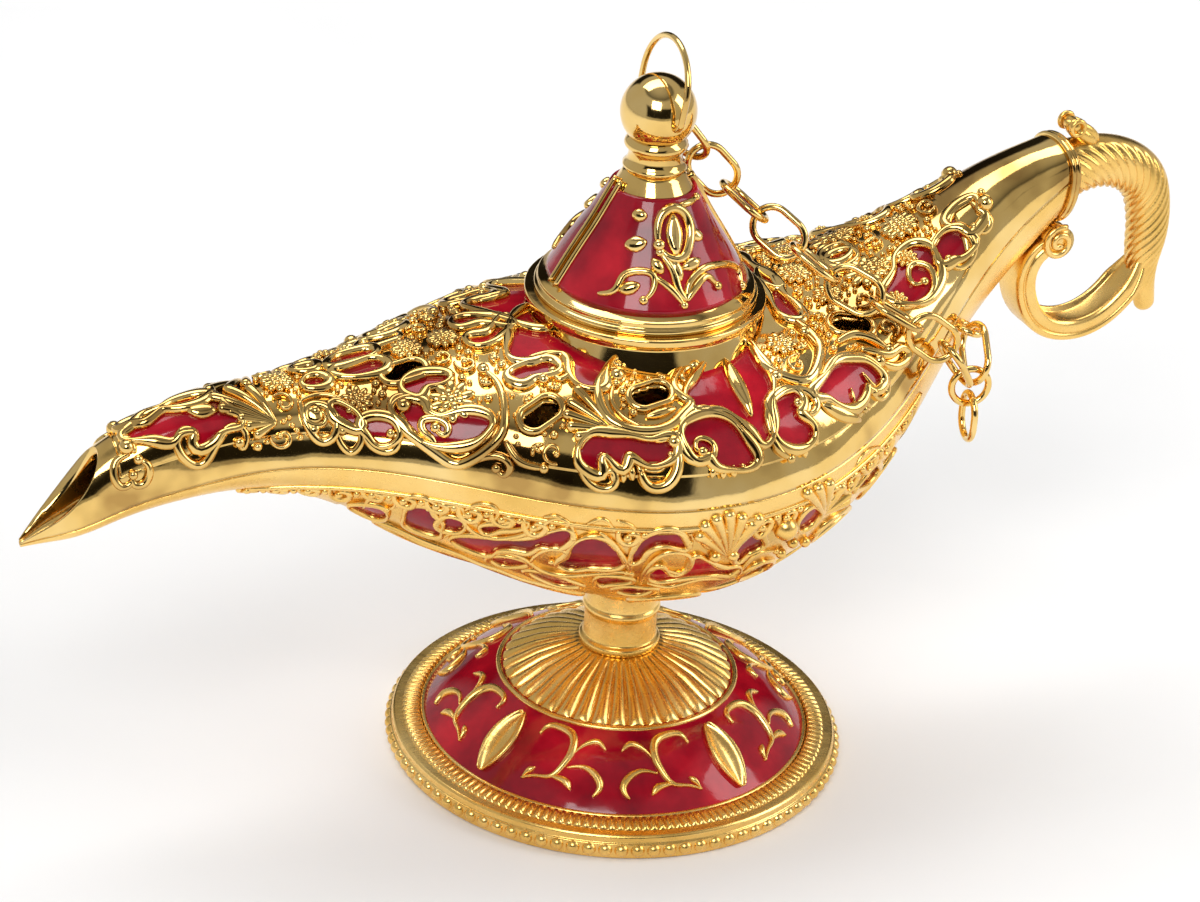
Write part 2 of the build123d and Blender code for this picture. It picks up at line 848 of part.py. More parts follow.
def make_foot():
    """Cast foot: beaded edge, flat rim, enamel recess and gadrooned dome over a hollow."""
    line = foot_line(enamel_depth + enamel_fit)
    low = line @ 0
    high = line @ 1
    outline = Polyline(
        (low.X, low.Y),
        (foot_enamel_radius, foot_rim_height),
        (foot_radius - foot_step, foot_rim_height),
        (foot_radius - foot_step, foot_edge),
        (foot_radius, foot_edge),
        (foot_radius, 0),
        (0, 0),
        (0, dome_height),
        (dome_radius, dome_height),
        (high.X, high.Y),
    )
    foot = revolve(Plane.XZ * make_face([line, outline]), Axis.Z) + fluted_dome()
    under = [
        (0, -overrun),
        (foot_radius - foot_wall, -overrun),
        (foot_radius - foot_wall, foot_rim_height - foot_wall),
        (foot_enamel_radius - foot_wall, foot_rim_height - foot_wall),
        (dome_radius - foot_wall, dome_height - foot_wall - enamel_depth),
        (dome_middle_radius - foot_wall, dome_middle_height - foot_wall - gadroon_depth),
        (dome_crown_radius, dome_crown_height - foot_wall - gadroon_depth),
        (0, dome_crown_height - foot_wall - gadroon_depth),
    ]
    foot -= turned(under)
    return foot - upright(screw_radius + screw_fit, 0, dome_crown_height + overrun)


def make_foot_enamel():
    outer = foot_line(0)
    inner = foot_line(enamel_depth)
    edge_low = Line(outer @ 0, inner @ 0)
    edge_high = Line(outer @ 1, inner @ 1)
    ring = revolve(Plane.XZ * make_face([outer, edge_high, inner, edge_low]), Axis.Z)
    ring &= upright(foot_enamel_radius - enamel_fit, 0, dome_height)
    return ring - upright(dome_radius + enamel_fit, 0, dome_height + overrun)


def make_stem():
    base = dome_crown_height
    outline = [
        (screw_radius + screw_fit, base),
        (stem_bead_radius - screw_fit, base),
        (stem_bead_radius, base + stem_bead_height / 4),
        (stem_bead_radius, base + stem_bead_height * 3 / 4),
        (stem_radius, base + stem_bead_height),
        (stem_radius, stem_joint_height - stem_joint_width),
        (stem_joint_radius, stem_joint_height - stem_joint_width / 2),
        (stem_joint_radius, stem_joint_height + stem_joint_width / 2),
        (stem_radius, stem_joint_height + stem_joint_width),
        (stem_radius, stem_top_height - stem_joint_width),
        (stem_joint_radius, stem_top_height),
        (screw_radius + screw_fit, stem_top_height),
    ]
    return turned(outline)


def screw_seat():
    """Height of the washer's underside below the dome."""
    return dome_crown_height - foot_wall - gadroon_depth - washer_thickness


def make_washer():
    seat = screw_seat()
    washer = upright(washer_radius, seat, seat + washer_thickness)
    return washer - upright(screw_radius + screw_fit, seat - overrun, seat + 2 * overrun)


def make_tie_screw():
    seat = screw_seat()
    end = keel_height + boss_height
    screw = upright(screw_radius, seat, end)
    screw += upright(screw_head_radius, seat - screw_head_height, seat)
    low = seat - screw_head_height
    socket = Pos(0, 0, low) * extrude(RegularPolygon(screw_socket_radius, 6), screw_socket_depth)
    return screw - socket


def build_parts():
    cavity = body_cavity()
    points = meeting_points()
    parts = {
        "foot": make_foot(),
        "foot_enamel": make_foot_enamel(),
        "stem": make_stem(),
        "washer": make_washer(),
        "tie_screw": make_tie_screw(),
        "bowl": make_bowl(cavity),
        "bowl_enamel": make_bowl_enamel(),
        "upper_shell": make_upper_shell(cavity),
        "shell_enamel": make_shell_enamel(),
        "handle": make_handle(),
        "lid": make_lid(),
        "lid_enamel": make_lid_enamel(),
        "finial": make_finial(),
        "finial_ring": make_bail(),
        "chain_eyelet": make_eyelet(points),
    }
    for index in range(1, chain_links + 1):
        name = f"chain_link_{index:02d}"
        parts[name] = round_link(points) if index == ring_link else oval_link(points, index)
    parts[f"chain_link_{chain_links + 1:02d}"] = spare_link(points)
    return parts


def main():
    os.makedirs("parts", exist_ok=True)
    for name, shape in build_parts().items():
        export_step(shape, f"parts/{name}.step")


main()
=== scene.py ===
import bpy
import json
import math
import numpy as np
from mathutils import Matrix, Vector
from mathutils.kdtree import KDTree


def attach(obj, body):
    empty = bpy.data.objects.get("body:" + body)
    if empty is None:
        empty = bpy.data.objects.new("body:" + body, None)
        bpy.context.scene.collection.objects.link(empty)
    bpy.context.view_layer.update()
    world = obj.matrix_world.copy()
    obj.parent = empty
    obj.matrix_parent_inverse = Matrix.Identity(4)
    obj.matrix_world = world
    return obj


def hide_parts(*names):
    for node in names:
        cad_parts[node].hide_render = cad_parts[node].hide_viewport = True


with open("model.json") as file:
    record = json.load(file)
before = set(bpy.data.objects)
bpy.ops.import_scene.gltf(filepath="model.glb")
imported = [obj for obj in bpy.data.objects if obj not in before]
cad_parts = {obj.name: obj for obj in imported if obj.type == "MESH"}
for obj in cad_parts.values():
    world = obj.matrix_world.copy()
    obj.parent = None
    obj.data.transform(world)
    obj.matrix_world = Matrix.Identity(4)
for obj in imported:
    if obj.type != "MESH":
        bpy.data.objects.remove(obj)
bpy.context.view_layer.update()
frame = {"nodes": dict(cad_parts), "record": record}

# All sizes below are millimetres in the part's own frame; meshes are written in metres.
MM = 0.001

spout_reach, tail_reach = 100.0, 71.0
body_half_width, rim_height, rim_rise, bowl_depth, shell_rise = 33.0, 60.0, 33.0, 30.0, 19.0
body_wall, thin_wall_share, seam_gap = 2.0, 0.55, 0.2
shell_power, bowl_fullness = 0.8, 0.25
# Body rows, as shares of the sizes above: place, half width, rim height, bowl depth, shell rise
body_shares = [
    (-1.00, 0.02, -0.20, 0.02, 0.03),
    (-0.97, 0.075, -0.155, 0.05, 0.20),
    (-0.93, 0.13, -0.11, 0.08, 0.37),
    (-0.86, 0.16, -0.03, 0.10, 0.505),
    (-0.76, 0.19, 0.05, 0.12, 0.58),
    (-0.64, 0.24, 0.11, 0.19, 0.54),
    (-0.52, 0.35, 0.12, 0.35, 0.57),
    (-0.40, 0.53, 0.09, 0.57, 0.71),
    (-0.27, 0.76, 0.045, 0.75, 0.885),
    (-0.13, 0.94, 0.01, 0.91, 0.975),
    (0.03, 1.00, 0.00, 1.00, 1.00),
    (0.225, 0.94, 0.03, 0.957, 0.965),
    (0.41, 0.77, 0.115, 0.88, 0.90),
    (0.58, 0.53, 0.27, 0.70, 0.84),
    (0.72, 0.35, 0.52, 0.50, 0.67),
    (0.86, 0.24, 0.79, 0.40, 0.47),
    (1.00, 0.19, 1.00, 0.28, 0.26),
]
# Oblique cut of the nib, as (place, height) shares, with a first guess for its place and the end of its reach
nib_cut_height, nib_guess, nib_end = 18.0, -94.0, -80.0
nib_shares = [(-1.00, 0.02), (-0.955, 0.22), (-0.905, 0.54), (-0.872, 0.90)]
# Openings of the shell, as (place, side, degrees of turn)
pierce_length, pierce_width = 6.0, 3.4
pierce_shares = [(-0.257, -0.60, 20), (-0.087, -0.66, 8), (0.40, -0.46, -25), (-0.42, -0.16, 0)]
# Enamel: depth on foot and lid; on the body, how far under the skin the ground, the enamel and its seat lie
enamel_depth = 0.6
ground_sink, enamel_top, enamel_floor, enamel_overlap = 0.3, 0.38, 0.7, 0.04
shell_belt, bowl_belt, widest_belt, belt_lean = 5.4, 4.2, 0.75, 0.9
shell_field = (-86.0, 51.1)
bowl_field = (-52.0, 41.2)

neck_bore, neck_radius, neck_waist, neck_flange = 15.2, 19.0, 18.0, 18.8
neck_foot_z, neck_flange_z, neck_top_z = 73.0, 80.2, 81.4
lid_rim, lid_top_radius, lid_shoulder, lid_top_z = 17.4, 5.1, 16.3, 101.8
lid_rim_thick, lid_wall, rivet_hole = 2.0, 1.5, 2.05
panel_gap, panel_low, panel_high, panel_sink = 0.06, 0.05, 0.86, 0.1
spigot_radius, spigot_wall, spigot_depth = 14.8, 1.4, 4.5
lid_cone_shares = [(1.0, 0.0), (0.652, 0.35), (0.393, 0.595), (0.17, 0.83), (0.0, 1.0)]
ball_radius, ball_z = 5.9, 111.0
hole_radius, hole_z = 1.9, 110.4
bail_wire, bail_half, bail_corner, bail_height, bail_tilt = 1.0, 7.6, 1.8, 12.3, 8.0
link_wire, link_width, link_play, end_play = 1.15, 7.2, 0.35, 1.1
hook_turn, eyelet_radius = 30.0, 2.0
foot_radius, foot_rim_z, foot_field_radius, foot_swell = 37.5, 3.9, 31.6, 1.27
foot_wall, foot_hollow_z = 1.6, 2.3
bead_seat, edge_beads, milled_ribs = 36.7, 90, 160
edge_bead_ring, edge_bead_z, edge_bead_radius, edge_bead_squash = 36.25, 1.42, 1.22, 0.95
rib_relief, rib_flatness, rib_root_z = 0.2, 1.6, 3.5
dome_radius, dome_z, crown_radius, crown_z = 18.7, 13.1, 7.0, 18.2
gadroons, gadroon_depth, gadroon_draft, dome_wall = 38, 0.85, 0.35, 1.5
screw_hole, stem_top_z, boss_radius, boss_top_z = 2.2, 29.6, 6.3, 32.0


def unit(v):
    """Vectors scaled to length one, along the last axis."""
    v = np.asarray(v, float)
    return v / np.maximum(np.linalg.norm(v, axis=-1, keepdims=True), 1e-9)


def full_turn(steps):
    """Evenly spaced angles round a circle."""
    return np.linspace(0, 2 * math.pi, steps, endpoint=False)


def polar(radius, turn, height):
    """Points at a distance from the Z axis, a turn about it and a height."""
    return np.stack([radius * np.cos(turn), radius * np.sin(turn), height + 0 * turn], -1)


def natural_spline(knots, values):
    """Cubic curve through the values, as a function of the knots."""
    knots = np.asarray(knots, float)
    values = np.asarray(values, float)
    count = len(knots)
    gap = np.diff(knots)
    system = np.zeros((count, count))
    right = np.zeros((count,) + values.shape[1:])
    system[0, 0] = system[-1, -1] = 1
    slope = np.diff(values, axis=0) / gap.reshape((-1,) + (1,) * (values.ndim - 1))
    for i in range(1, count - 1):
        system[i, i - 1] = gap[i - 1]
        system[i, i] = 2 * (gap[i - 1] + gap[i])
        system[i, i + 1] = gap[i]
        right[i] = 6 * (slope[i] - slope[i - 1])
    bend = np.linalg.solve(system, right.reshape(count, -1)).reshape(right.shape)

    def curve(at):
        at = np.asarray(at, float)
        i = np.clip(np.searchsorted(knots, at) - 1, 0, count - 2)
        h = gap[i]
        a = (knots[i + 1] - at)
        b = (at - knots[i])
        if values.ndim > 1:
            h, a, b = h[..., None], a[..., None], b[..., None]
        return ((bend[i] * a ** 3 + bend[i + 1] * b ** 3) / (6 * h)
                + (values[i] / h - bend[i] * h / 6) * a + (values[i + 1] / h - bend[i + 1] * h / 6) * b)
    return curve


def length_along(points, least=0.0):
    """Length of a path up to each of its points; every step counts for at least the given length."""
    steps = np.linalg.norm(np.diff(points, axis=0), axis=1)
    return np.concatenate([[0], np.cumsum(np.maximum(steps, least))])


def through(points, count, closed=False):
    """Evenly spaced points of a smooth curve through the given ones."""
    pts = np.asarray(points, float)
    if closed:
        pts = np.vstack([pts[-3:], pts, pts[:3]])
    knots = length_along(pts)
    low, high = (knots[3], knots[-3]) if closed else (knots[0], knots[-1])
    return natural_spline(knots, pts)(np.linspace(low, high, count, endpoint=not closed))


rows = np.array(body_shares)
row_x = np.where(rows[:, 0] < 0, rows[:, 0] * spout_reach, rows[:, 0] * tail_reach)
half_width = natural_spline(row_x, rows[:, 1] * body_half_width)
rim_line = natural_spline(row_x, rim_height + rows[:, 2] * rim_rise)
depth_line = natural_spline(row_x, rows[:, 3] * bowl_depth)
rise_line = natural_spline(row_x, rows[:, 4] * shell_rise)


def half_section(x, upper):
    """Half width, height and fullness of one half of the body."""
    width = half_width(x)
    if upper:
        return width, rise_line(x), shell_power
    return width, depth_line(x), 1 + bowl_fullness * width / body_half_width


def skin(x, turn, upper, sink=0.0):
    """Point of the body's skin: turn runs from 0 at the +Y seam over the middle to pi at the -Y seam."""
    x = np.asarray(x, float)
    width, height, power = half_section(x, upper)
    width = np.maximum(width - sink, width * thin_wall_share)
    height = np.maximum(height - sink, height * thin_wall_share)
    up = np.clip(np.sin(turn), 0, 1) ** power * height
    z = rim_line(x) + up if upper else rim_line(x) - seam_gap - up
    return np.stack([x + 0 * turn, width * np.cos(turn), z], -1)


def new_object(name, data):
    thing = bpy.data.objects.new(name, data)
    bpy.context.scene.collection.objects.link(thing)
    return thing


def as_object(name, verts, faces, material, body):
    mesh = bpy.data.meshes.new(name)
    mesh.from_pydata([tuple(v) for v in np.asarray(verts, float) * MM], [],
                     [tuple(int(i) for i in f) for f in faces])
    mesh.validate()
    for polygon in mesh.polygons:
        polygon.use_smooth = True
    mesh.materials.append(material)
    thing = new_object(name, mesh)
    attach(thing, body)
    return thing


def merge(pieces):
    """One vertex and face list from several."""
    verts, faces, start = [], [], 0
    for v, f in pieces:
        verts.append(np.asarray(v, float))
        faces += [tuple(i + start for i in face) for face in f]
        start += len(v)
    return np.vstack(verts), faces


def slab(outer, inner, keep=None, wrap=False):
    """Closed sheet between two grids of points; keep says which cells stay."""
    nu, nv = outer.shape[:2]
    size = nu * nv
    faces, edges = [], []
    for i in range(nu if wrap else nu - 1):
        k = (i + 1) % nu
        for j in range(nv - 1):
            if keep is not None and not keep[i, j]:
                continue
            a, b, c, d = i * nv + j, k * nv + j, k * nv + j + 1, i * nv + j + 1
            faces += [(a, b, c, d), (size + d, size + c, size + b, size + a)]
            edges += [(a, b), (b, c), (c, d), (d, a)]
    shared = set(edges)
    faces += [(b, a, size + a, size + b) for a, b in edges if (b, a) not in shared]
    return np.vstack([outer.reshape(-1, 3), inner.reshape(-1, 3)]), faces


def tube(grid, closed=False, open_section=False, flip=False):
    """Skin over a grid of (station, place on the section) points, capped at both ends unless it closes on itself."""
    count, around = grid.shape[:2]
    faces = []
    for i in range(count if closed else count - 1):
        k = (i + 1) % count
        for j in range(around - 1 if open_section else around):
            m = (j + 1) % around
            a, b, c, d = i * around + j, i * around + m, k * around + m, k * around + j
            faces.append((a, d, c, b) if flip else (a, b, c, d))
    if not closed:
        caps = [tuple(range(around))[::-1], tuple((count - 1) * around + j for j in range(around))]
        faces += [cap[::-1] for cap in caps] if flip else caps
    return grid.reshape(-1, 3), faces


def lathe(profile, steps, closed=True):
    """Surface turned about Z from (radius, height) points; a closed profile gives a ring."""
    turns = full_turn(steps)
    profile = np.asarray(profile, float)
    grid = np.stack([np.outer(np.cos(turns), profile[:, 0]), np.outer(np.sin(turns), profile[:, 0]),
                     np.outer(np.ones(steps), profile[:, 1])], -1)
    return tube(grid, closed=True, open_section=not closed, flip=True)


def rounded(corners, radius, steps=4):
    """Closed outline with its corners rounded off."""
    pts = [np.asarray(c, float) for c in corners]
    out = []
    for i, p in enumerate(pts):
        before, after = pts[i - 1] - p, pts[(i + 1) % len(pts)] - p
        lb, la = np.linalg.norm(before), np.linalg.norm(after)
        r = min(radius, lb * 0.45, la * 0.45)
        a, b = p + before / lb * r, p + after / la * r
        for s in np.linspace(0, 1, steps):
            out.append((1 - s) ** 2 * a + 2 * s * (1 - s) * p + s * s * b)
    return out


def directions(points, closed=False):
    """Unit tangent at each point of a path."""
    return unit(np.roll(points, -1, 0) - np.roll(points, 1, 0) if closed else np.gradient(points, axis=0))


def frames_along(points, closed, hint):
    """Points of a path with the side and normal at each, without sudden twists."""
    pts = np.asarray(points, float)
    tangent = directions(pts, closed)
    side = unit(np.cross(tangent, np.asarray(hint, float)))
    return pts, side, np.cross(side, tangent)


def sweep(points, section, closed=False, hint=(0, 0, 1)):
    """Closed section, as (across, up) points, carried along a path."""
    pts, side, normal = frames_along(points, closed, hint)
    section = np.asarray(section, float)
    return tube(pts[:, None] + section[:, :1] * side[:, None] + section[:, 1:] * normal[:, None], closed)


def circle(radius, sides):
    turns = full_turn(sides)
    return np.stack([radius * np.cos(turns), radius * np.sin(turns)], -1)


def ball(centre, radius, squash=1.0, rings=10, sides=16):
    """Round bead; squash flattens it along Z."""
    bands = np.linspace(0, math.pi, rings + 1)[1:-1]
    verts = [(0, 0, 1)]
    verts += [(math.sin(p) * math.cos(t), math.sin(p) * math.sin(t), math.cos(p))
              for p in bands for t in full_turn(sides)]
    verts.append((0, 0, -1))
    faces = []
    last = len(verts) - 1
    for j in range(sides):
        m = (j + 1) % sides
        faces.append((0, 1 + j, 1 + m))
        for i in range(len(bands) - 1):
            a = 1 + i * sides
            faces.append((a + j, a + sides + j, a + sides + m, a + m))
        a = 1 + (len(bands) - 1) * sides
        faces.append((a + j, last, a + m))
    return np.array(verts) * radius * np.array([1, 1, squash]) + np.asarray(centre, float), faces


def pebble(centre, axes, radii, rings=6, sides=10):
    """Oval bead with its own three axes."""
    verts, faces = ball((0, 0, 0), 1.0, 1.0, rings, sides)
    return centre + (verts * np.asarray(radii)) @ np.asarray(axes), faces


# Materials

def shader(name):
    material = bpy.data.materials.new(name)
    material.use_nodes = True
    tree = material.node_tree
    return material, tree, tree.nodes["Principled BSDF"]


def noise(tree, scale, detail, roughness):
    coords = tree.nodes.new("ShaderNodeTexCoord")
    texture = tree.nodes.new("ShaderNodeTexNoise")
    texture.inputs["Scale"].default_value = scale
    texture.inputs["Detail"].default_value = detail
    texture.inputs["Roughness"].default_value = roughness
    tree.links.new(coords.outputs["Object"], texture.inputs["Vector"])
    return texture.outputs["Fac"]


def ramp(tree, source, stops):
    """Colour that follows a value, from (position, colour) stops."""
    node = tree.nodes.new("ShaderNodeValToRGB")
    elements = node.color_ramp.elements
    elements[0].position, elements[0].color = stops[0][0], (*stops[0][1], 1)
    elements[1].position, elements[1].color = stops[-1][0], (*stops[-1][1], 1)
    for position, colour in stops[1:-1]:
        elements.new(position).color = (*colour, 1)
    tree.links.new(source, node.inputs["Fac"])
    return node.outputs["Color"]


def spread(tree, source, low, high):
    node = tree.nodes.new("ShaderNodeMapRange")
    node.inputs["To Min"].default_value = low
    node.inputs["To Max"].default_value = high
    tree.links.new(source, node.inputs["Value"])
    return node.outputs["Result"]


def bump(tree, source, strength, distance, below=None):
    """Normal raised by a value, on top of the normal below it."""
    node = tree.nodes.new("ShaderNodeBump")
    node.inputs["Strength"].default_value = strength
    node.inputs["Distance"].default_value = distance
    tree.links.new(source, node.inputs["Height"])
    if below is not None:
        tree.links.new(below, node.inputs["Normal"])
    return node.outputs["Normal"]


def surface(name, cloud, stops, fine, roughness):
    """Material with a cloudy tone and uneven roughness; cloud and fine give the two noises."""
    material, tree, main = shader(name)
    tree.links.new(ramp(tree, noise(tree, *cloud), stops), main.inputs["Base Color"])
    tree.links.new(spread(tree, noise(tree, *fine), *roughness), main.inputs["Roughness"])
    return material, tree, main


def gold(name, tones, roughness, grain_depth, wave_depth):
    """Plated casting: cloudy tone, fine grain and slow waves in the surface."""
    stops = list(zip((0.34, 0.48, 0.68), tones))
    material, tree, main = surface(name, (70.0, 3.0, 0.55), stops, (420.0, 5.0, 0.6), roughness)
    main.inputs["Metallic"].default_value = 1.0
    waves = bump(tree, noise(tree, 55.0, 1.5, 0.5), 1.0, wave_depth)
    grain = bump(tree, noise(tree, 900.0, 2.0, 0.5), 1.0, grain_depth, waves)
    tree.links.new(grain, main.inputs["Normal"])
    return material


def enamel(name):
    """Deep red glaze, glossy and a little rippled."""
    stops = [(0.28, (0.13, 0.001, 0.008)), (0.5, (0.32, 0.003, 0.014)), (0.72, (0.56, 0.010, 0.024))]
    material, tree, main = surface(name, (90.0, 4.0, 0.55), stops, (500.0, 3.0, 0.5), (0.04, 0.12))
    main.inputs["IOR"].default_value = 1.43
    ripple = bump(tree, noise(tree, 180.0, 2.0, 0.5), 0.25, 0.0003)
    tree.links.new(ripple, main.inputs["Normal"])
    return material


def steel(name):
    """Plain screw steel."""
    stops = [(0.3, (0.42, 0.42, 0.44)), (0.7, (0.62, 0.62, 0.65))]
    material, _, main = surface(name, (300.0, 4.0, 0.5), stops, (300.0, 4.0, 0.5), (0.25, 0.45))
    main.inputs["Metallic"].default_value = 1.0
    return material


polished = gold("polished_gold", [(0.50, 0.30, 0.09), (0.86, 0.57, 0.18), (0.95, 0.68, 0.27)],
                (0.05, 0.12), 0.00001, 0.0016)
satin = gold("satin_gold", [(0.82, 0.51, 0.13), (0.93, 0.59, 0.17), (0.99, 0.69, 0.25)],
             (0.2, 0.34), 0.00003, 0.0006)
red = enamel("red_enamel")
screw_metal = steel("screw_steel")

pick = {"polished_gold": polished, "satin_gold": satin, "red_enamel": red, "screw_steel": screw_metal}
for node_name, node in frame["nodes"].items():
    slot_name = next(s["material_slot"] for s in frame["record"]["subparts"] if s["node"] == node_name)
    node.data.materials.clear()
    node.data.materials.append(pick[slot_name])


# Body
# Outlines of the enamel cells in the shell's relief, as (x, degrees from the seam), made for both sides

red_cells = [
    [(-84.2, 77), (-82.5, 84), (-80.7, 94), (-78.3, 88), (-76.3, 95), (-73.6, 98), (-71.3, 89),
     (-70.1, 70), (-69.1, 55), (-67.9, 46), (-68.2, 42), (-69.9, 42), (-71.5, 38), (-72.7, 31),
     (-74.0, 29), (-74.6, 33), (-74.2, 41), (-75.3, 49), (-76.7, 50), (-77.9, 45), (-80.2, 53),
     (-82.5, 63)],
    [(36.3, 58), (37.9, 60), (39.7, 63), (40.9, 69), (43.0, 70), (44.8, 65), (45.6, 55), (45.6, 46),
     (45.2, 39), (43.6, 36), (41.5, 38), (38.7, 45), (36.6, 53)],
    [(46.8, 57), (48.5, 59), (50.3, 55), (51.8, 43), (52.1, 34), (50.5, 35), (48.3, 41), (46.8, 44),
     (46.7, 50)],
    [(50.2, 67), (52.0, 70), (54.4, 67), (54.1, 55), (54.4, 45), (53.1, 44), (51.8, 53)],
    [(32.6, 96), (35.1, 96), (35.0, 89), (32.7, 88)],
    [(21.8, 96), (22.0, 91), (21.0, 78), (21.7, 71), (21.4, 67), (19.5, 69), (19.4, 78), (20.1, 87)],
    [(17.7, 34), (20.7, 38), (23.7, 41), (26.6, 38), (28.8, 31), (30.0, 21), (28.6, 22), (26.9, 27),
     (26.2, 23), (24.3, 21), (22.7, 23), (20.7, 28), (19.2, 32)],
    [(-21.5, 21), (-20.8, 26), (-19.0, 30), (-16.9, 30), (-14.1, 29), (-11.0, 27), (-7.9, 28),
     (-8.0, 23), (-9.5, 20), (-12.0, 19), (-13.7, 22), (-14.6, 23), (-16.0, 17), (-17.2, 21),
     (-18.2, 23), (-19.3, 19), (-19.3, 14), (-20.9, 16)],
    [(-5.5, 32), (-3.8, 35), (-1.5, 36), (0.7, 34), (2.7, 28), (4.2, 21), (4.5, 15), (2.8, 14),
     (0.5, 15), (-1.5, 17), (-2.6, 21), (-4.3, 20), (-5.3, 24), (-5.7, 28)],
    [(10.3, 37), (12.4, 39), (14.1, 37), (14.6, 33), (13.7, 30), (14.2, 26), (15.3, 20), (14.7, 17),
     (12.9, 16), (10.8, 18), (9.3, 23), (9.4, 30)],
    [(-3.1, 44), (-1.6, 49), (2.0, 56), (5.4, 60), (10.3, 62), (10.6, 58), (11.2, 50), (10.5, 43),
     (8.9, 35), (8.3, 26), (6.7, 22), (5.7, 26), (3.5, 34), (0.7, 39), (-2.4, 40)],
    [(-24.7, 78), (-20.7, 93), (-18.0, 96), (-16.3, 89), (-16.0, 76), (-13.7, 70), (-10.9, 66),
     (-13.0, 62), (-15.9, 52), (-18.0, 53), (-18.2, 62), (-18.1, 68), (-20.5, 69), (-23.6, 67),
     (-25.6, 68)],
    [(-27.7, 58), (-25.2, 63), (-22.5, 65), (-20.9, 65), (-20.5, 62), (-22.8, 59), (-24.9, 58),
     (-26.7, 56)],
    [(-45.0, 45), (-43.3, 48), (-41.7, 46), (-41.4, 39), (-39.8, 35), (-37.1, 38), (-34.8, 39),
     (-33.2, 36), (-34.0, 30), (-35.9, 24), (-38.2, 21), (-41.0, 21), (-43.1, 25), (-44.6, 35)],
    [(-49.9, 34), (-48.4, 36), (-46.7, 34), (-46.0, 28), (-46.3, 22), (-48.1, 18), (-49.5, 25)],
    [(-53.6, 50), (-52.2, 45), (-51.0, 37), (-51.0, 30), (-52.7, 35), (-53.9, 43)],
    [(-41.7, 64), (-39.9, 66), (-36.5, 62), (-38.0, 59), (-40.0, 58), (-41.7, 52), (-42.5, 54)],
    [(-50.8, 87), (-48.5, 88), (-44.7, 86), (-44.6, 77), (-47.0, 75), (-49.4, 76)],
    [(-56.5, 76), (-54.7, 83), (-53.4, 77), (-54.5, 72), (-56.1, 73)],
    [(-30.0, 85), (-28.2, 85), (-24.5, 90), (-22.8, 93), (-23.1, 89), (-25.6, 83), (-27.7, 80),
     (-30.0, 80)],
]
# Cells of the bowl, the last five of them underneath
bowl_cells = [
    [(-43.7, 28), (-42.7, 23), (-41.5, 22), (-40.4, 27), (-39.5, 29), (-38.9, 36), (-38.8, 44),
     (-40.2, 46), (-42.4, 46), (-43.5, 37)],
    [(-39.0, 28), (-38.2, 24), (-37.0, 24), (-36.3, 29), (-37.3, 34), (-38.6, 35)],
    [(-36.7, 41), (-35.1, 34), (-32.8, 31), (-29.4, 27), (-26.6, 22), (-24.8, 17), (-23.0, 15),
     (-22.3, 18), (-22.7, 23), (-24.0, 26), (-25.9, 27), (-27.0, 33), (-28.7, 34), (-30.9, 38),
     (-31.5, 45), (-33.3, 46)],
    [(-30.7, 48), (-29.8, 42), (-28.1, 40), (-26.1, 41), (-27.2, 47), (-28.9, 50)],
    [(-21.7, 25), (-21.1, 20), (-19.8, 17), (-17.8, 17), (-15.9, 21), (-13.9, 29), (-15.2, 32),
     (-18.3, 34), (-20.6, 37), (-22.2, 36), (-21.8, 30)],
    [(-33.9, 25), (-31.8, 20), (-29.8, 16), (-28.6, 15), (-29.4, 19), (-31.6, 23), (-33.4, 27)],
    [(-25.1, 48), (-22.7, 45), (-19.0, 47), (-16.9, 50), (-18.6, 54), (-22.2, 53)],
    [(-12.5, 27), (-12.8, 21), (-12.3, 15), (-10.9, 12), (-9.2, 11), (-7.3, 12), (-5.8, 16), (-5.2, 19),
     (-6.8, 18), (-8.7, 17), (-10.0, 18), (-11.3, 22), (-11.8, 26)],
    [(-8.7, 35), (-9.0, 31), (-8.3, 29), (-6.1, 33), (-3.8, 33), (-3.0, 28), (-3.0, 24), (-1.3, 26),
     (1.1, 30), (3.7, 33), (5.7, 34), (6.6, 39), (2.8, 36), (-1.2, 35), (-4.1, 36), (-7.0, 37)],
    [(3.7, 24), (4.6, 19), (6.3, 16), (7.4, 16), (7.7, 20), (8.6, 25), (7.8, 26), (6.2, 27), (5.5, 30)],
    [(15.1, 23), (14.9, 17), (16.1, 15), (18.1, 19), (19.0, 23), (18.1, 26), (16.4, 26)],
    [(8.9, 41), (10.3, 38), (13.3, 41), (14.5, 47), (14.8, 53), (13.2, 53)],
    [(27.1, 22), (28.0, 21), (29.1, 19), (30.2, 19), (32.3, 24), (33.0, 30), (31.7, 30), (29.6, 28)],
    [(-15.7, 38), (-14.4, 37), (-12.3, 37), (-11.0, 38), (-11.9, 40), (-13.5, 43), (-14.4, 45)],
    [(-11.8, 47), (-10.8, 43), (-8.4, 43), (-6.3, 44), (-6.7, 47), (-8.9, 49)],
    [(23.5, 47), (22.3, 36), (23.8, 34), (26.9, 37), (29.3, 46), (27.3, 46), (25.0, 47)],
    [(-46, 62), (-40, 57), (-30, 60), (-20, 66), (-12, 74), (-20, 81), (-32, 79), (-42, 72)],
    [(8, 64), (16, 59), (26, 61), (33, 66), (27, 76), (16, 80), (8, 75)],
    [(-6, 58), (-1, 53), (4, 57), (2, 65), (-4, 67)],
    [(-50, 42), (-47.5, 36), (-46, 47), (-48, 58), (-50, 54)],
    [(34.5, 42), (37.5, 37), (39, 50), (37, 62), (34, 54)],
]


def cell_loop(controls, count=140):
    """Smooth closed outline of a cell, as (x, degrees from the seam)."""
    loop = np.asarray(controls, float)
    scale = np.array([1.0, 0.45])
    return through(loop * scale, count, True) / scale


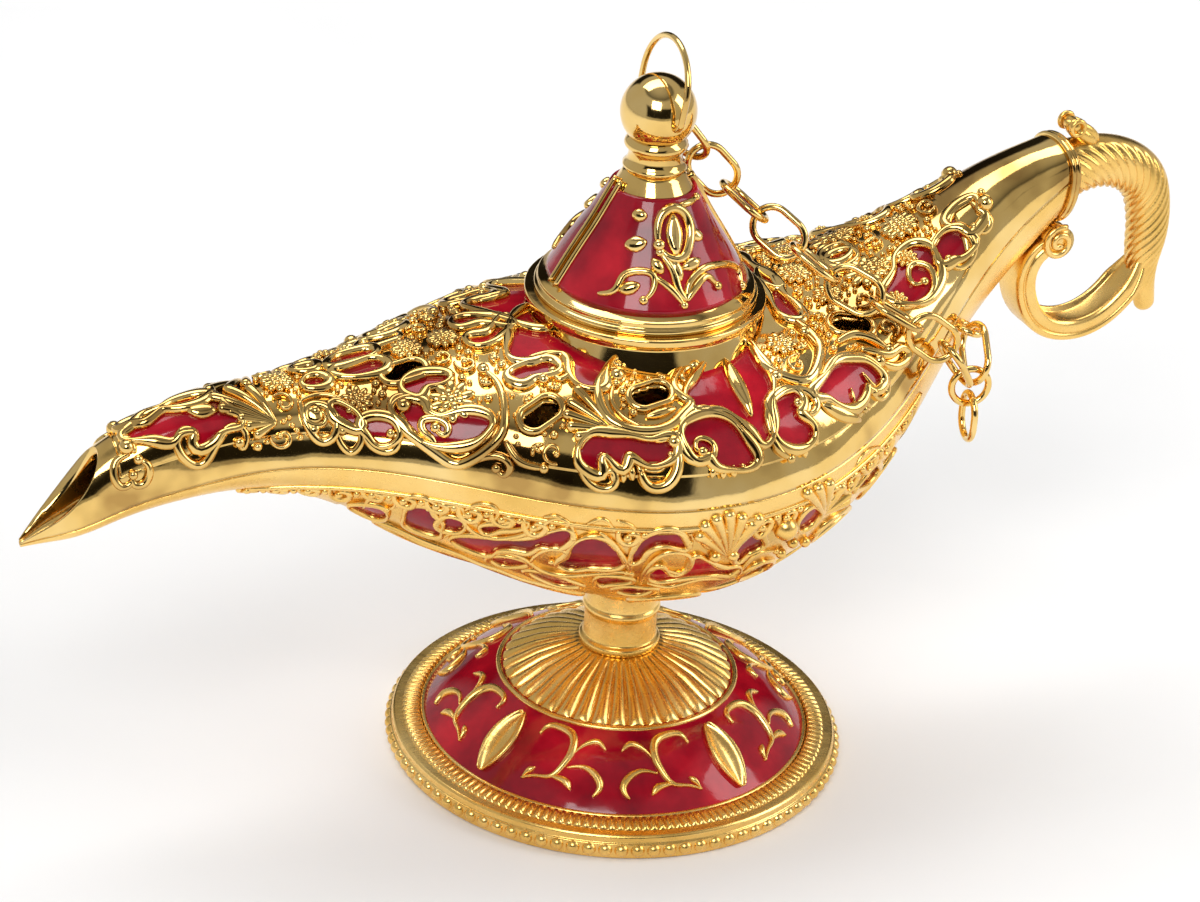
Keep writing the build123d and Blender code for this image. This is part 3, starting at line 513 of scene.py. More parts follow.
def in_cells(cells, x, rise):
    """Which places lie in an enamel cell."""
    inside = np.zeros(x.shape, bool)
    for controls in cells:
        loop = cell_loop(controls, 90)
        low, high = loop.min(0), loop.max(0)
        near = (x > low[0]) & (x < high[0]) & (rise > low[1]) & (rise < high[1])
        px, py = x[near], rise[near]
        odd = np.zeros(px.shape, bool)
        for (ax, ay), (bx, by) in zip(loop, np.roll(loop, -1, 0)):
            if ay != by:
                odd ^= ((ay > py) != (by > py)) & (px < (bx - ax) * (py - ay) / (by - ay) + ax)
        inside[near] |= odd
    return inside


def in_either(cells, x, turn):
    """Which places lie in an enamel cell of the near or the far side."""
    rise = np.degrees(turn)
    return in_cells(cells, x, rise) | in_cells(cells, x, 180 - rise)


def nib_front(turn):
    """Where the oblique cut meets the shell at each turn round its section."""
    tip = rim_height + body_shares[0][2] * rim_rise
    at = np.array([(a * spout_reach, tip + u * nib_cut_height) for a, u in nib_shares])
    cut = natural_spline(at[:, 1], at[:, 0])
    x = np.full_like(turn, nib_guess)
    for _ in range(40):
        z = skin(x, turn, True)[..., 2]
        x = x + 0.5 * (cut(np.clip(z, at[0, 1], at[-1, 1])) - x)
    return np.clip(x, -spout_reach, nib_end)


def seam_share(x, upper):
    """Turn, measured from the seam, at which the enamel field starts."""
    _, height, power = half_section(x, upper)
    belt = shell_belt if upper else bowl_belt
    return np.arcsin(np.minimum(belt / height, widest_belt) ** (1 / power))


def body_grid(upper, field, counts, around):
    """Places (x, turn) over one half of the body, with lines along the edges of its enamel field.

    The counts are the steps before, along and behind the field; around gives those on the belt and on the field.
    """
    edge, wide = around
    low, high = field
    hair, half_hair = 0.02, 0.01
    shares = [np.linspace(0, 1, c + 1)[1:] for c in counts]
    stations = [("lead", part) for part in (0.0, *shares[0])]
    stations.append(("x", low + hair))
    stations += [("x", low + s * (high - low)) for s in shares[1]]
    stations.append(("x", high + hair))
    stations += [("x", high + s * (tail_reach - high)) for s in shares[2]]
    columns = np.concatenate([np.linspace(0, 1, edge + 1), [1.0001], 1 + np.linspace(0, 1, wide + 1)[1:-1],
                              [1.9999], 2 + np.linspace(0, 1, edge + 1)])
    grid_x = np.zeros((len(stations), len(columns)))
    grid_t = np.zeros_like(grid_x)
    for i, (kind, value) in enumerate(stations):
        x = np.full(len(columns), low if kind == "lead" else value, float)
        start = seam_share(x, upper)
        turn = np.where(columns <= 1, columns * start,
                        np.where(columns <= 2, start + (columns - 1) * (math.pi - 2 * start),
                                 math.pi - start + (columns - 2) * start))
        if kind == "lead":
            tip = nib_front(turn) if upper else np.full(len(columns), -spout_reach)
            x = tip + value * (low - tip)
        grid_x[i], grid_t[i] = x, turn
    in_rows = (grid_x > low + half_hair) & (grid_x < high + half_hair)
    return grid_x, grid_t, in_rows & (columns > 1.00005) & (columns < 1.99995)


def cell_middles(grid):
    return (grid[:-1, :-1] + grid[1:, :-1] + grid[1:, 1:] + grid[:-1, 1:]) / 4


def touched_cells(marks):
    """Cells of a grid with a marked corner."""
    return marks[:-1, :-1] | marks[1:, :-1] | marks[1:, 1:] | marks[:-1, 1:]


def pierce_places():
    """Centre and turn of each opening in the shell, both sides."""
    places = []
    for along, across, turn in pierce_shares:
        x = along * (spout_reach if along < 0 else tail_reach)
        for side in (-1, 1):
            places.append((x, side * across * body_half_width, math.radians(side * turn)))
    return places


def in_slots(points, grow=0.0):
    """Which points lie over an opening, seen square to the skin."""
    inside = np.zeros(points.shape[:-1], bool)
    half_run = (pierce_length - pierce_width) / 2
    for x, y, turn in pierce_places():
        width = half_width(x)
        lean = 1 / max(0.55, math.sqrt(max(0.05, 1 - (y / width) ** 2)))
        dx = points[..., 0] - x
        dy = (points[..., 1] - y) * lean
        a = dx * math.cos(turn) + dy * math.sin(turn)
        b = dy * math.cos(turn) - dx * math.sin(turn)
        a = np.maximum(np.abs(a) - half_run, 0)
        inside |= np.hypot(a, b) < pierce_width / 2 + grow
    return inside


def field_part(grid, inside):
    """Rows and columns of a grid that belong to the enamel field."""
    rows = np.where(inside.any(1))[0]
    columns = np.where(inside.any(0))[0]
    return grid[rows[0]:rows[-1] + 1, columns[0]:columns[-1] + 1]


def enamel_sheet(upper, grid_x, grid_t, seat, enamelled):
    """Top and underside of the enamel on one half of the body, and the cells of that grid that it fills."""
    red_x, red_t, marks = (field_part(grid, seat) for grid in (grid_x, grid_t, enamelled))
    top = skin(red_x, red_t, upper, enamel_top)
    return top, skin(red_x, red_t, upper, enamel_floor - enamel_overlap), touched_cells(marks)


grid_x, grid_t, seat = body_grid(True, shell_field, (26, 380, 36), (14, 190))
enamelled = seat & in_either(red_cells, grid_x, grid_t)
belt_part = np.clip(np.minimum(grid_t, math.pi - grid_t) / seam_share(grid_x, True), 0, 1)
fade = np.clip((grid_x - shell_field[0]) / 10, 0, 1) * np.clip((shell_field[1] - grid_x) / 8, 0, 1)
sunk = np.where(enamelled, enamel_floor, np.where(seat, ground_sink, belt_lean * belt_part * fade))
outer = skin(grid_x, grid_t, True, sunk)
inner = skin(grid_x, grid_t, True, body_wall)
middles = cell_middles(outer)
keep = np.hypot(middles[..., 0], middles[..., 1]) > (neck_bore + neck_radius) / 2
keep &= ~in_slots(middles, 0.2)
shell = as_object("shell_skin", *slab(outer[::-1], inner[::-1], keep[::-1]), polished, "body")
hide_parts("upper_shell")

top, under, keep = enamel_sheet(True, grid_x, grid_t, seat, enamelled)
middles = cell_middles(top)
keep &= (np.hypot(middles[..., 0], middles[..., 1]) > neck_radius - 0.6) & ~in_slots(middles, 0.3)
shell_red = as_object("shell_red", *slab(top[::-1], under[::-1], keep[::-1]), red, "body")
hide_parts("shell_enamel")


def neck_profile():
    """Conical band that leans in to the flange under the lid."""
    return rounded([(neck_bore, neck_foot_z + 1), (neck_radius + 1.1, neck_foot_z),
                    (neck_radius + 0.9, neck_foot_z + 0.8), (neck_waist - 0.5, neck_flange_z - 0.9),
                    (neck_flange, neck_flange_z - 0.2), (neck_flange, neck_top_z), (neck_bore, neck_top_z)], 0.4)


neck = as_object("neck_ring", *lathe(neck_profile(), 160), polished, "body")

grid_x, grid_t, seat = body_grid(False, bowl_field, (60, 300, 40), (12, 160))
enamelled = seat & in_either(bowl_cells, grid_x, grid_t)
outer = skin(grid_x, grid_t, False, np.where(enamelled, enamel_floor, np.where(seat, ground_sink, 0.0)))
inner = skin(grid_x, grid_t, False, body_wall)
bowl = as_object("bowl_skin", *slab(outer, inner), satin, "body")
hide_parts("bowl")

bowl_red = as_object("bowl_red", *slab(*enamel_sheet(False, grid_x, grid_t, seat, enamelled)), red, "body")
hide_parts("bowl_enamel")
boss_outline = [(screw_hole, stem_top_z), (boss_radius, stem_top_z), (boss_radius, boss_top_z),
                (screw_hole, boss_top_z)]
boss = as_object("bowl_boss", *lathe(boss_outline, 96), satin, "body")


# Foot, stem

def foot_top(r):
    """Height of the enamelled shoulder at a radius, without ornament."""
    share = np.clip((foot_field_radius - r) / (foot_field_radius - dome_radius), 0, 1)
    return foot_rim_z + share * (dome_z - foot_rim_z) + 4 * share * (1 - share) * foot_swell


def gadroon_dome():
    """Petalled crown: each petal is a rounded ridge that narrows towards the stem."""
    turns = full_turn(gadroons * 12)
    wave = np.abs(np.cos(turns * gadroons / 2)) ** 0.7
    stations = [(dome_radius, dome_z, 0.2), (dome_radius - 0.15, dome_z + 0.35, 0.8), (17.6, dome_z + 1.05, 1.0),
                (16.0, 15.0, 1.0), (13.5, 16.3, 0.9), (11.0, 17.15, 0.75), (9.0, 17.7, 0.55), (7.4, 18.1, 0.3),
                (crown_radius, crown_z, 0.0), (5.0, crown_z, 0.0)]
    rings = []
    for radius, height, share in stations:
        deep = gadroon_depth * share * (1 - wave)
        rings.append(polar(radius - gadroon_draft * deep, turns, height - deep))
    top = np.stack(rings, 1)
    under = top.copy()
    under[..., 2] -= dome_wall
    return slab(top, under, wrap=True)


def foot_body():
    """Foot with the seat of its beads and the sunk bed of its enamel, hollow underneath."""
    profile = rounded([(foot_radius - foot_wall, 0), (bead_seat, 0), (bead_seat, 2.5), (bead_seat - 0.35, 2.65),
                       (bead_seat - 0.35, 3.5), (bead_seat - 0.7, foot_rim_z),
                       (foot_field_radius, foot_rim_z)], 0.2)[2:-1]
    ring = [(r, foot_top(r) - 0.65) for r in np.linspace(foot_field_radius - 0.05, dome_radius - 0.4, 16)]
    inner = [(dome_radius - 1.8, 11.0), (foot_field_radius - foot_wall, foot_hollow_z),
             (foot_radius - foot_wall, foot_hollow_z)]
    return lathe(profile + ring + inner, 192)


def foot_enamel_ring():
    radii = np.linspace(foot_field_radius - 0.05, dome_radius - 0.2, 20)
    top = [(r, foot_top(r)) for r in radii]
    under = [(r, foot_top(r) - enamel_depth) for r in radii[::-1]]
    return lathe(top + under, 192)


def beaded_edge():
    """Round beads along the foot's lower edge."""
    pieces = []
    for i in range(edge_beads):
        turn = 2 * math.pi * i / edge_beads
        centre = (edge_bead_ring * math.cos(turn), edge_bead_ring * math.sin(turn), edge_bead_z)
        pieces.append(ball(centre, edge_bead_radius, edge_bead_squash, 9, 14))
    return merge(pieces)


def ribbed_ring():
    """Milled band round the enamel: flat radial ribs on a slope that falls outward."""
    turns = full_turn(milled_ribs * 8)
    wave = rib_relief * np.clip(rib_flatness * np.cos(turns * milled_ribs), -1, 1)
    stations = [(31.75, 3.8, 0.0), (31.9, 4.45, 0.5), (32.2, 4.65, 1.0), (34.2, 4.3, 1.0), (34.5, 4.1, 0.6),
                (34.7, 3.8, 0.0)]
    top = np.stack([polar(radius, turns, height + deep * wave) for radius, height, deep in stations], 1)
    under = top.copy()
    under[..., 2] = rib_root_z
    return slab(top, under, wrap=True)


foot = as_object("foot_cast", *foot_body(), satin, "body")
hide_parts("foot")
dome = as_object("foot_gadroons", *gadroon_dome(), satin, "body")
beads = as_object("foot_beads", *beaded_edge(), satin, "body")
ribs = as_object("foot_ribs", *ribbed_ring(), satin, "body")
foot_red = as_object("foot_red", *foot_enamel_ring(), red, "body")
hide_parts("foot_enamel")

stem_outline = rounded([(screw_hole, crown_z), (6.5, crown_z), (6.6, 18.7), (6.6, 19.4), (5.9, 19.8), (5.9, 24.3),
                        (6.3, 24.8), (6.3, 25.4), (5.9, 25.9), (5.9, 28.8), (boss_radius, stem_top_z),
                        (screw_hole, stem_top_z)], 0.3)
stem = as_object("stem_turned", *lathe(stem_outline, 96), satin, "body")
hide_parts("stem")


# Lid and finial

def cone_line(share, sink=0.0):
    """Lid cone: radius and height at a share of the way up."""
    bottom = neck_top_z + lid_rim_thick
    points = np.array([(lid_top_radius + out * (lid_shoulder - lid_top_radius), bottom + up * (lid_top_z - bottom))
                       for out, up in lid_cone_shares])
    curve = natural_spline(points[:, 1], points[:, 0])
    height = bottom + share * (lid_top_z - bottom)
    return curve(height) - sink, height


def lid_body_outline():
    """Outline of the cone with its stepped rim, and of the spigot that centres it in the neck."""
    z = neck_top_z
    rim = rounded([(spigot_radius - spigot_wall, z - spigot_depth), (spigot_radius, z - spigot_depth),
                   (spigot_radius, z), (lid_rim, z), (lid_rim, z + 0.9), (lid_rim - 0.6, z + 1.15),
                   (lid_rim - 0.5, z + 1.9), (lid_shoulder + 0.2, z + 2.1)], 0.35)[:-3]
    cone = [tuple(map(float, cone_line(share))) for share in np.linspace(0.02, 1, 24)]
    outside = [(radius - 0.62, height) for radius, height in cone]
    inside = [(radius - lid_wall, height - lid_wall) for radius, height in cone[::-1]]
    inside[0] = (rivet_hole, lid_top_z - lid_wall)
    return rim + outside + [(rivet_hole, lid_top_z)] + inside + [(spigot_radius - spigot_wall, z + 1.0)]


def lid_field(start, end):
    """Curved panel on the cone, from rib to rib."""
    turns = np.linspace(start, end, 90)
    top, under = [], []
    for share in np.linspace(panel_low, panel_high, 30):
        radius, height = cone_line(share)
        top.append(polar(radius - panel_sink, turns, height))
        under.append(polar(radius - enamel_depth, turns, height))
    return slab(np.stack(top, 1), np.stack(under, 1))


lid = as_object("lid_cone", *lathe(lid_body_outline(), 160), polished, "lid")
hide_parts("lid")
fields = [lid_field(start + panel_gap, start + math.pi - panel_gap) for start in (0, math.pi)]
lid_red = as_object("lid_red", *merge(fields), red, "lid")
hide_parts("lid_enamel")


def finial_outline():
    """Rivet stud and collared neck under the ball."""
    z = lid_top_z
    return [(0.01, z - 4), (2.0, z - 4), (2.0, z), (4.6, z), (4.95, z + 0.3), (4.95, z + 0.7), (4.6, z + 1.0),
            (4.25, z + 1.6), (4.15, z + 2.4), (4.3, z + 3.1), (4.8, z + 3.6), (4.95, z + 4.0), (4.8, z + 4.5),
            (4.3, z + 5.1), (3.8, z + 5.6), (0.01, z + 5.6)]


def cut_ball():
    """Ball with the cross hole for the bail, cut with a boolean."""
    sphere = as_object("ball_try", *ball((0, 0, ball_z), ball_radius, 1.0, 48, 96), polished, "lid")
    path = [(0, y, hole_z) for y in (-8, -4, 0, 4, 8)]
    drill = as_object("drill_try", *sweep(path, circle(hole_radius, 48)), polished, "lid")
    cut = sphere.modifiers.new("cut", "BOOLEAN")
    cut.object = drill
    cut.operation = "DIFFERENCE"
    bpy.context.view_layer.update()
    mesh = bpy.data.meshes.new_from_object(sphere.evaluated_get(bpy.context.evaluated_depsgraph_get()))
    mesh.name = "finial_ball"
    for old in (sphere, drill):
        bpy.data.objects.remove(old)
    thing = new_object("finial_ball", mesh)
    mesh.set_sharp_from_angle(angle=math.radians(40))
    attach(thing, "lid")
    return thing


knob = as_object("finial_neck", *lathe(finial_outline(), 96, closed=False), polished, "lid")
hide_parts("finial")
ball_piece = cut_ball()


# Bail and chain

def arc(y, z, radius, low, high, count):
    """Points (y, z) of an arc, with its angles in degrees."""
    return [(y + radius * math.cos(t), z + radius * math.sin(t)) for t in np.radians(np.linspace(low, high, count))]


def bail_path():
    flat = bail_half - bail_corner
    path = [(y, 0) for y in np.linspace(-flat, flat, 9)[:-1]]
    path += arc(flat, bail_corner, bail_corner, -90, 0, 7)[:-1]
    path += arc(0, bail_height - bail_half, bail_half, 0, 180, 40)
    path += arc(-flat, bail_corner, bail_corner, 180, 270, 7)[1:-1]
    lean = math.radians(bail_tilt)
    return [(z * math.sin(lean), y, hole_z + z * math.cos(lean)) for y, z in path]


bail = as_object("bail_wire", *sweep(bail_path(), circle(bail_wire / 2, 12), closed=True, hint=(1, 0, 0)),
                 polished, "finial_ring")
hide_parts("finial_ring")

# Where each link meets the next, as shares of tail reach, half width and rim height, and the links' own turns
link_meet_shares = [
    (0.076, 0.205, 1.775), (0.140, 0.163, 1.676), (0.208, 0.114, 1.586), (0.252, -0.067, 1.535),
    (0.309, -0.218, 1.474), (0.372, -0.359, 1.413), (0.446, -0.494, 1.366), (0.528, -0.590, 1.309),
    (0.610, -0.622, 1.235), (0.666, -0.567, 1.131), (0.702, -0.583, 1.137), (0.725, -0.411, 1.212),
]
link_rolls = {1: -125.0, 2: -88.0, 12: -75.0}


def meeting_points():
    points = [np.array([a * tail_reach, b * body_half_width, c * rim_height]) for a, b, c in link_meet_shares]
    lean, turn = math.radians(bail_tilt), math.radians(hook_turn)
    y = bail_half - bail_corner + bail_corner * math.sin(turn)
    rise = bail_corner * (1 - math.cos(turn))
    hook = np.array([rise * math.sin(lean), y, hole_z + rise * math.cos(lean)])
    return [hook - unit(points[0] - hook) * (link_wire + link_play) / 2] + points


def link_axes(points, index):
    forward = unit(points[index] - points[index - 1])
    face = np.array([0, -0.6, 0.8])
    up = unit(face - forward * (face @ forward))
    across = np.cross(forward, up)
    roll = math.radians(link_rolls.get(index, 45.0 if index % 2 else -45.0))
    normal = up * math.cos(roll) + across * math.sin(roll)
    return forward, np.cross(normal, forward), normal


def oval(centre, forward, side, length):
    """Stadium path of a link."""
    bend = (link_width - link_wire) / 2
    offset = length / 2 - bend
    path = []
    for way, start in ((1, -90), (-1, 90)):
        for a in np.radians(np.linspace(start, start + 180, 17)):
            path.append(centre + forward * (way * offset + bend * math.cos(a)) + side * bend * math.sin(a))
    return path


def wire_loop(path, hint):
    return sweep(path, circle(link_wire / 2, 14), closed=True, hint=hint)


def link_mesh(points, index):
    forward, side, normal = link_axes(points, index)
    play = end_play if index in (1, 12) else link_play
    length = np.linalg.norm(points[index] - points[index - 1]) + link_wire + play
    path = oval((points[index] + points[index - 1]) / 2, forward, side, length)
    return wire_loop(path, normal)


def ring_place(points):
    inner_r = (link_width - link_wire) / 2 - (link_wire + link_play) / 2
    span = points[11] - points[10]
    across = unit(span)
    down = np.array([0, 0, -1.0])
    down = unit(down - across * (across @ down))
    centre = (points[10] + points[11]) / 2 + down * math.sqrt(inner_r ** 2 - (np.linalg.norm(span) / 2) ** 2)
    return centre, across, down, inner_r


def loop_mesh(centre, a, b, radius):
    path = [centre + radius * (a * math.cos(t) + b * math.sin(t)) for t in full_turn(40)]
    return wire_loop(path, np.cross(a, b))


chain_points = meeting_points()
ring_centre, ring_across, ring_down, ring_inner = ring_place(chain_points)
for index in range(1, 14):
    name = f"chain_link_{index:02d}"
    if index == 11:
        built = loop_mesh(ring_centre, ring_across, ring_down, (link_width - link_wire) / 2)
    elif index == 13:
        fall = np.array([0, 0, -1.0])
        side = unit(np.cross(ring_across, fall))
        drop = link_width - link_wire
        middle = ring_centre + ring_down * ring_inner + fall * drop / 2
        built = wire_loop(oval(middle, fall, side, drop + link_wire + link_play), np.cross(fall, side))
    else:
        built = link_mesh(chain_points, index)
    link = as_object(f"link_{index:02d}", *built, polished, name)
    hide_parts(name)

eye_normal = link_axes(chain_points, 12)[2]
eye_out = np.array([0, -1.0, 0])
eye_along = unit(eye_normal - eye_out * (eye_normal @ eye_out))
eye_centre = chain_points[12] - eye_out * (eyelet_radius - (link_wire + link_play) / 2)
eyelet = as_object("eyelet_loop", *loop_mesh(eye_centre, eye_out, eye_along, eyelet_radius), polished, "body")
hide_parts("chain_eyelet")


# Handle

handle_reach, handle_drop, handle_z, handle_thick = 24.0, 32.0, 93.0, 4.9
rope_shares = [
    (0.067, -0.03, 1.00), (0.23, 0.00, 0.96), (0.42, 0.00, 0.90), (0.585, -0.04, 0.87), (0.73, -0.13, 0.84),
    (0.803, -0.265, 0.80), (0.829, -0.42, 0.76), (0.825, -0.56, 0.70), (0.845, -0.70, 0.56), (0.88, -0.80, 0.43),
    (0.91, -0.885, 0.33),
]
strap_shares = [
    (0.045, -0.375), (-0.09, -0.435), (-0.155, -0.54), (-0.14, -0.67), (-0.055, -0.79), (0.09, -0.87),
    (0.27, -0.895), (0.46, -0.86), (0.62, -0.77), (0.74, -0.65), (0.81, -0.53),
]
strands, strand_turns = 13, 1.9
volute_radius, volute_wire, volute_face = 2.75, 0.55, 3.6


def handle_point(reach, drop):
    return np.array([tail_reach + reach * handle_reach, 0.0, handle_z + drop * handle_drop])


def rope_arm():
    """Twisted arm: fine rounded strands round a tapering core, smooth along its outer edge."""
    count, around = 200, 156
    share = np.linspace(0, 1, count)
    centres = through([handle_point(r, d) for r, d, s in rope_shares], count)
    thick = natural_spline(np.linspace(0, 1, len(rope_shares)), [s for r, d, s in rope_shares])(share) * handle_thick
    thick *= np.sqrt(np.clip(1 - ((share - 0.965) / 0.035).clip(0, 1) ** 2, 0.01, 1))
    turns = full_turn(around)
    pts, side, normal = frames_along(centres, False, (0, 1, 0))
    smooth_edge = 1 - np.clip((np.cos(turns) - 0.72) / 0.16, 0, 1)
    strand_depth = 0.12 * np.clip(share / 0.05, 0, 1) * np.clip((0.93 - share) / 0.12, 0, 1)
    phase = strands * (turns[None, :] + 2 * math.pi * strand_turns * share[:, None])
    valley = 1 - np.abs(np.cos(phase / 2)) ** 0.6
    radius = thick[:, None] * (1 - strand_depth[:, None] * valley * smooth_edge[None, :])
    across, up = radius * np.cos(turns), 0.86 * radius * np.sin(turns)
    return tube(pts[:, None] + across[..., None] * side[:, None] + up[..., None] * normal[:, None])


def strap():
    """Flat strap with a channel inside, a groove along each side face and a tapering end on the arm."""
    count = 110
    centres = through([handle_point(r, d) for r, d in strap_shares], count)
    half, thick, lip, groove = 3.5, 1.8, 1.0, 0.45
    one_side = [(thick, half - 0.7), (thick - 0.35, half - 0.1), (0.75, half - 0.1), (0.45, half - groove),
                (0.15, half), (-0.6, half + 0.1), (0.5 - thick, half), (-thick, half - 0.5), (-thick, half - lip),
                (0.9 - thick, half - lip - 0.4)]
    section = np.array(rounded(one_side + [(a, -b) for a, b in one_side[::-1]], 0.2, 3))
    pts, side, _ = frames_along(centres, False, (0, 1, 0))
    share = np.linspace(0, 1, count)
    slim = 1 - 0.62 * np.clip((share - 0.84) / 0.16, 0, 1) ** 1.3
    grid = (pts[:, None] - (section[None, :, :1] * slim[:, None, None]) * side[:, None]
            + (section[None, :, 1:] * slim[:, None, None]) * np.array([0, 1.0, 0]))
    return tube(grid)


def volute():
    """Rolled end of the strap, drawn as a spiral on both faces."""
    centre = handle_point(*strap_shares[0])
    ends = (-volute_face, -1, 1, volute_face)
    pieces = [sweep([centre + np.array([0, y, 0]) for y in ends], circle(volute_radius, 40))]
    for side in (-1, 1):
        path = []
        for t in np.linspace(0, 3.4 * math.pi, 60):
            r = volute_radius * (1 - t / (3.9 * math.pi)) + 0.1
            path.append(centre + np.array([r * math.cos(t + 1.2), side * volute_face, r * math.sin(t + 1.2)]))
        pieces.append(sweep(path, circle(volute_wire, 8), hint=(0, 1, 0)))
    return merge(pieces)


def collar_plate():
    """Lipped ring that closes the tail, with a bead on each edge."""
    turn, at_tail = np.linspace(0, math.pi, 60), np.full(60, tail_reach)
    loop = np.vstack([skin(at_tail, turn, True), skin(at_tail, turn, False)[::-1][1:-1]])
    rings = [(0.0, 0.0), (0.05, 0.5), (0.4, 0.62), (0.75, 0.5), (0.8, 0.2), (0.85, 0.5), (1.2, 0.62), (1.55, 0.5),
             (1.6, -0.2), (1.6, -3.0)]
    centre = loop.mean(0)
    outward = loop - centre
    length = np.linalg.norm(outward, axis=1)[:, None]
    grid = [centre + outward / length * (length + grow) + np.array([run, 0, 0]) for run, grow in rings]
    return tube(np.array(grid), flip=True)


def thumb_ornament():
    """Curled leaf over the handle's root: a tongue that lies back on the arm, its rolled tip and a side curl."""
    root = handle_point(0.16, 0) + np.array([0, 0, handle_thick * 0.75])
    along, across = np.array([0.79, 0, -0.61]), np.array([0, 1.0, 0])
    axes = np.array([along, across, np.cross(along, across)])
    tip = root + np.array([-0.9, 0, 3.5])
    beads = [((1.0, 0, 1.7), (4.1, 2.3, 1.5))]
    for way in (-1, 1):
        beads += [((1.2, 1.2 * way, 2.1), (3.2, 0.7, 1.45)), ((-2.6, 1.3 * way, 0.3), (1.4, 1.0, 1.1))]
    pieces = [pebble(root + np.array(place), axes, radii, 14, 24) for place, radii in beads]
    pieces.append(sweep([tip + np.array([0, y, 0]) for y in (-1.9, -0.6, 0.6, 1.9)], circle(1.15, 28)))
    for way in (-1, 1):
        ring = [tip + np.array([1.2 * math.cos(t), 1.9 * way, 1.2 * math.sin(t)]) for t in full_turn(32)]
        pieces.append(sweep(ring, circle(0.42, 8), closed=True, hint=(0, 1, 0)))
    return merge(pieces)


handle = as_object("handle_rope", *rope_arm(), satin, "body")
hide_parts("handle")
for piece_name, built in (("handle_strap", strap()), ("handle_volute", volute()), ("handle_collar", collar_plate()),
                          ("handle_thumb", thumb_ornament())):
    piece = as_object(piece_name, *built, satin if piece_name != "handle_collar" else polished, "body")


# Relief. Places on the shell and the bowl are (x, degrees from the seam), on the lid (turn, share of the height),
# on the foot (turn, radius). Everything on the body is made for both sides.

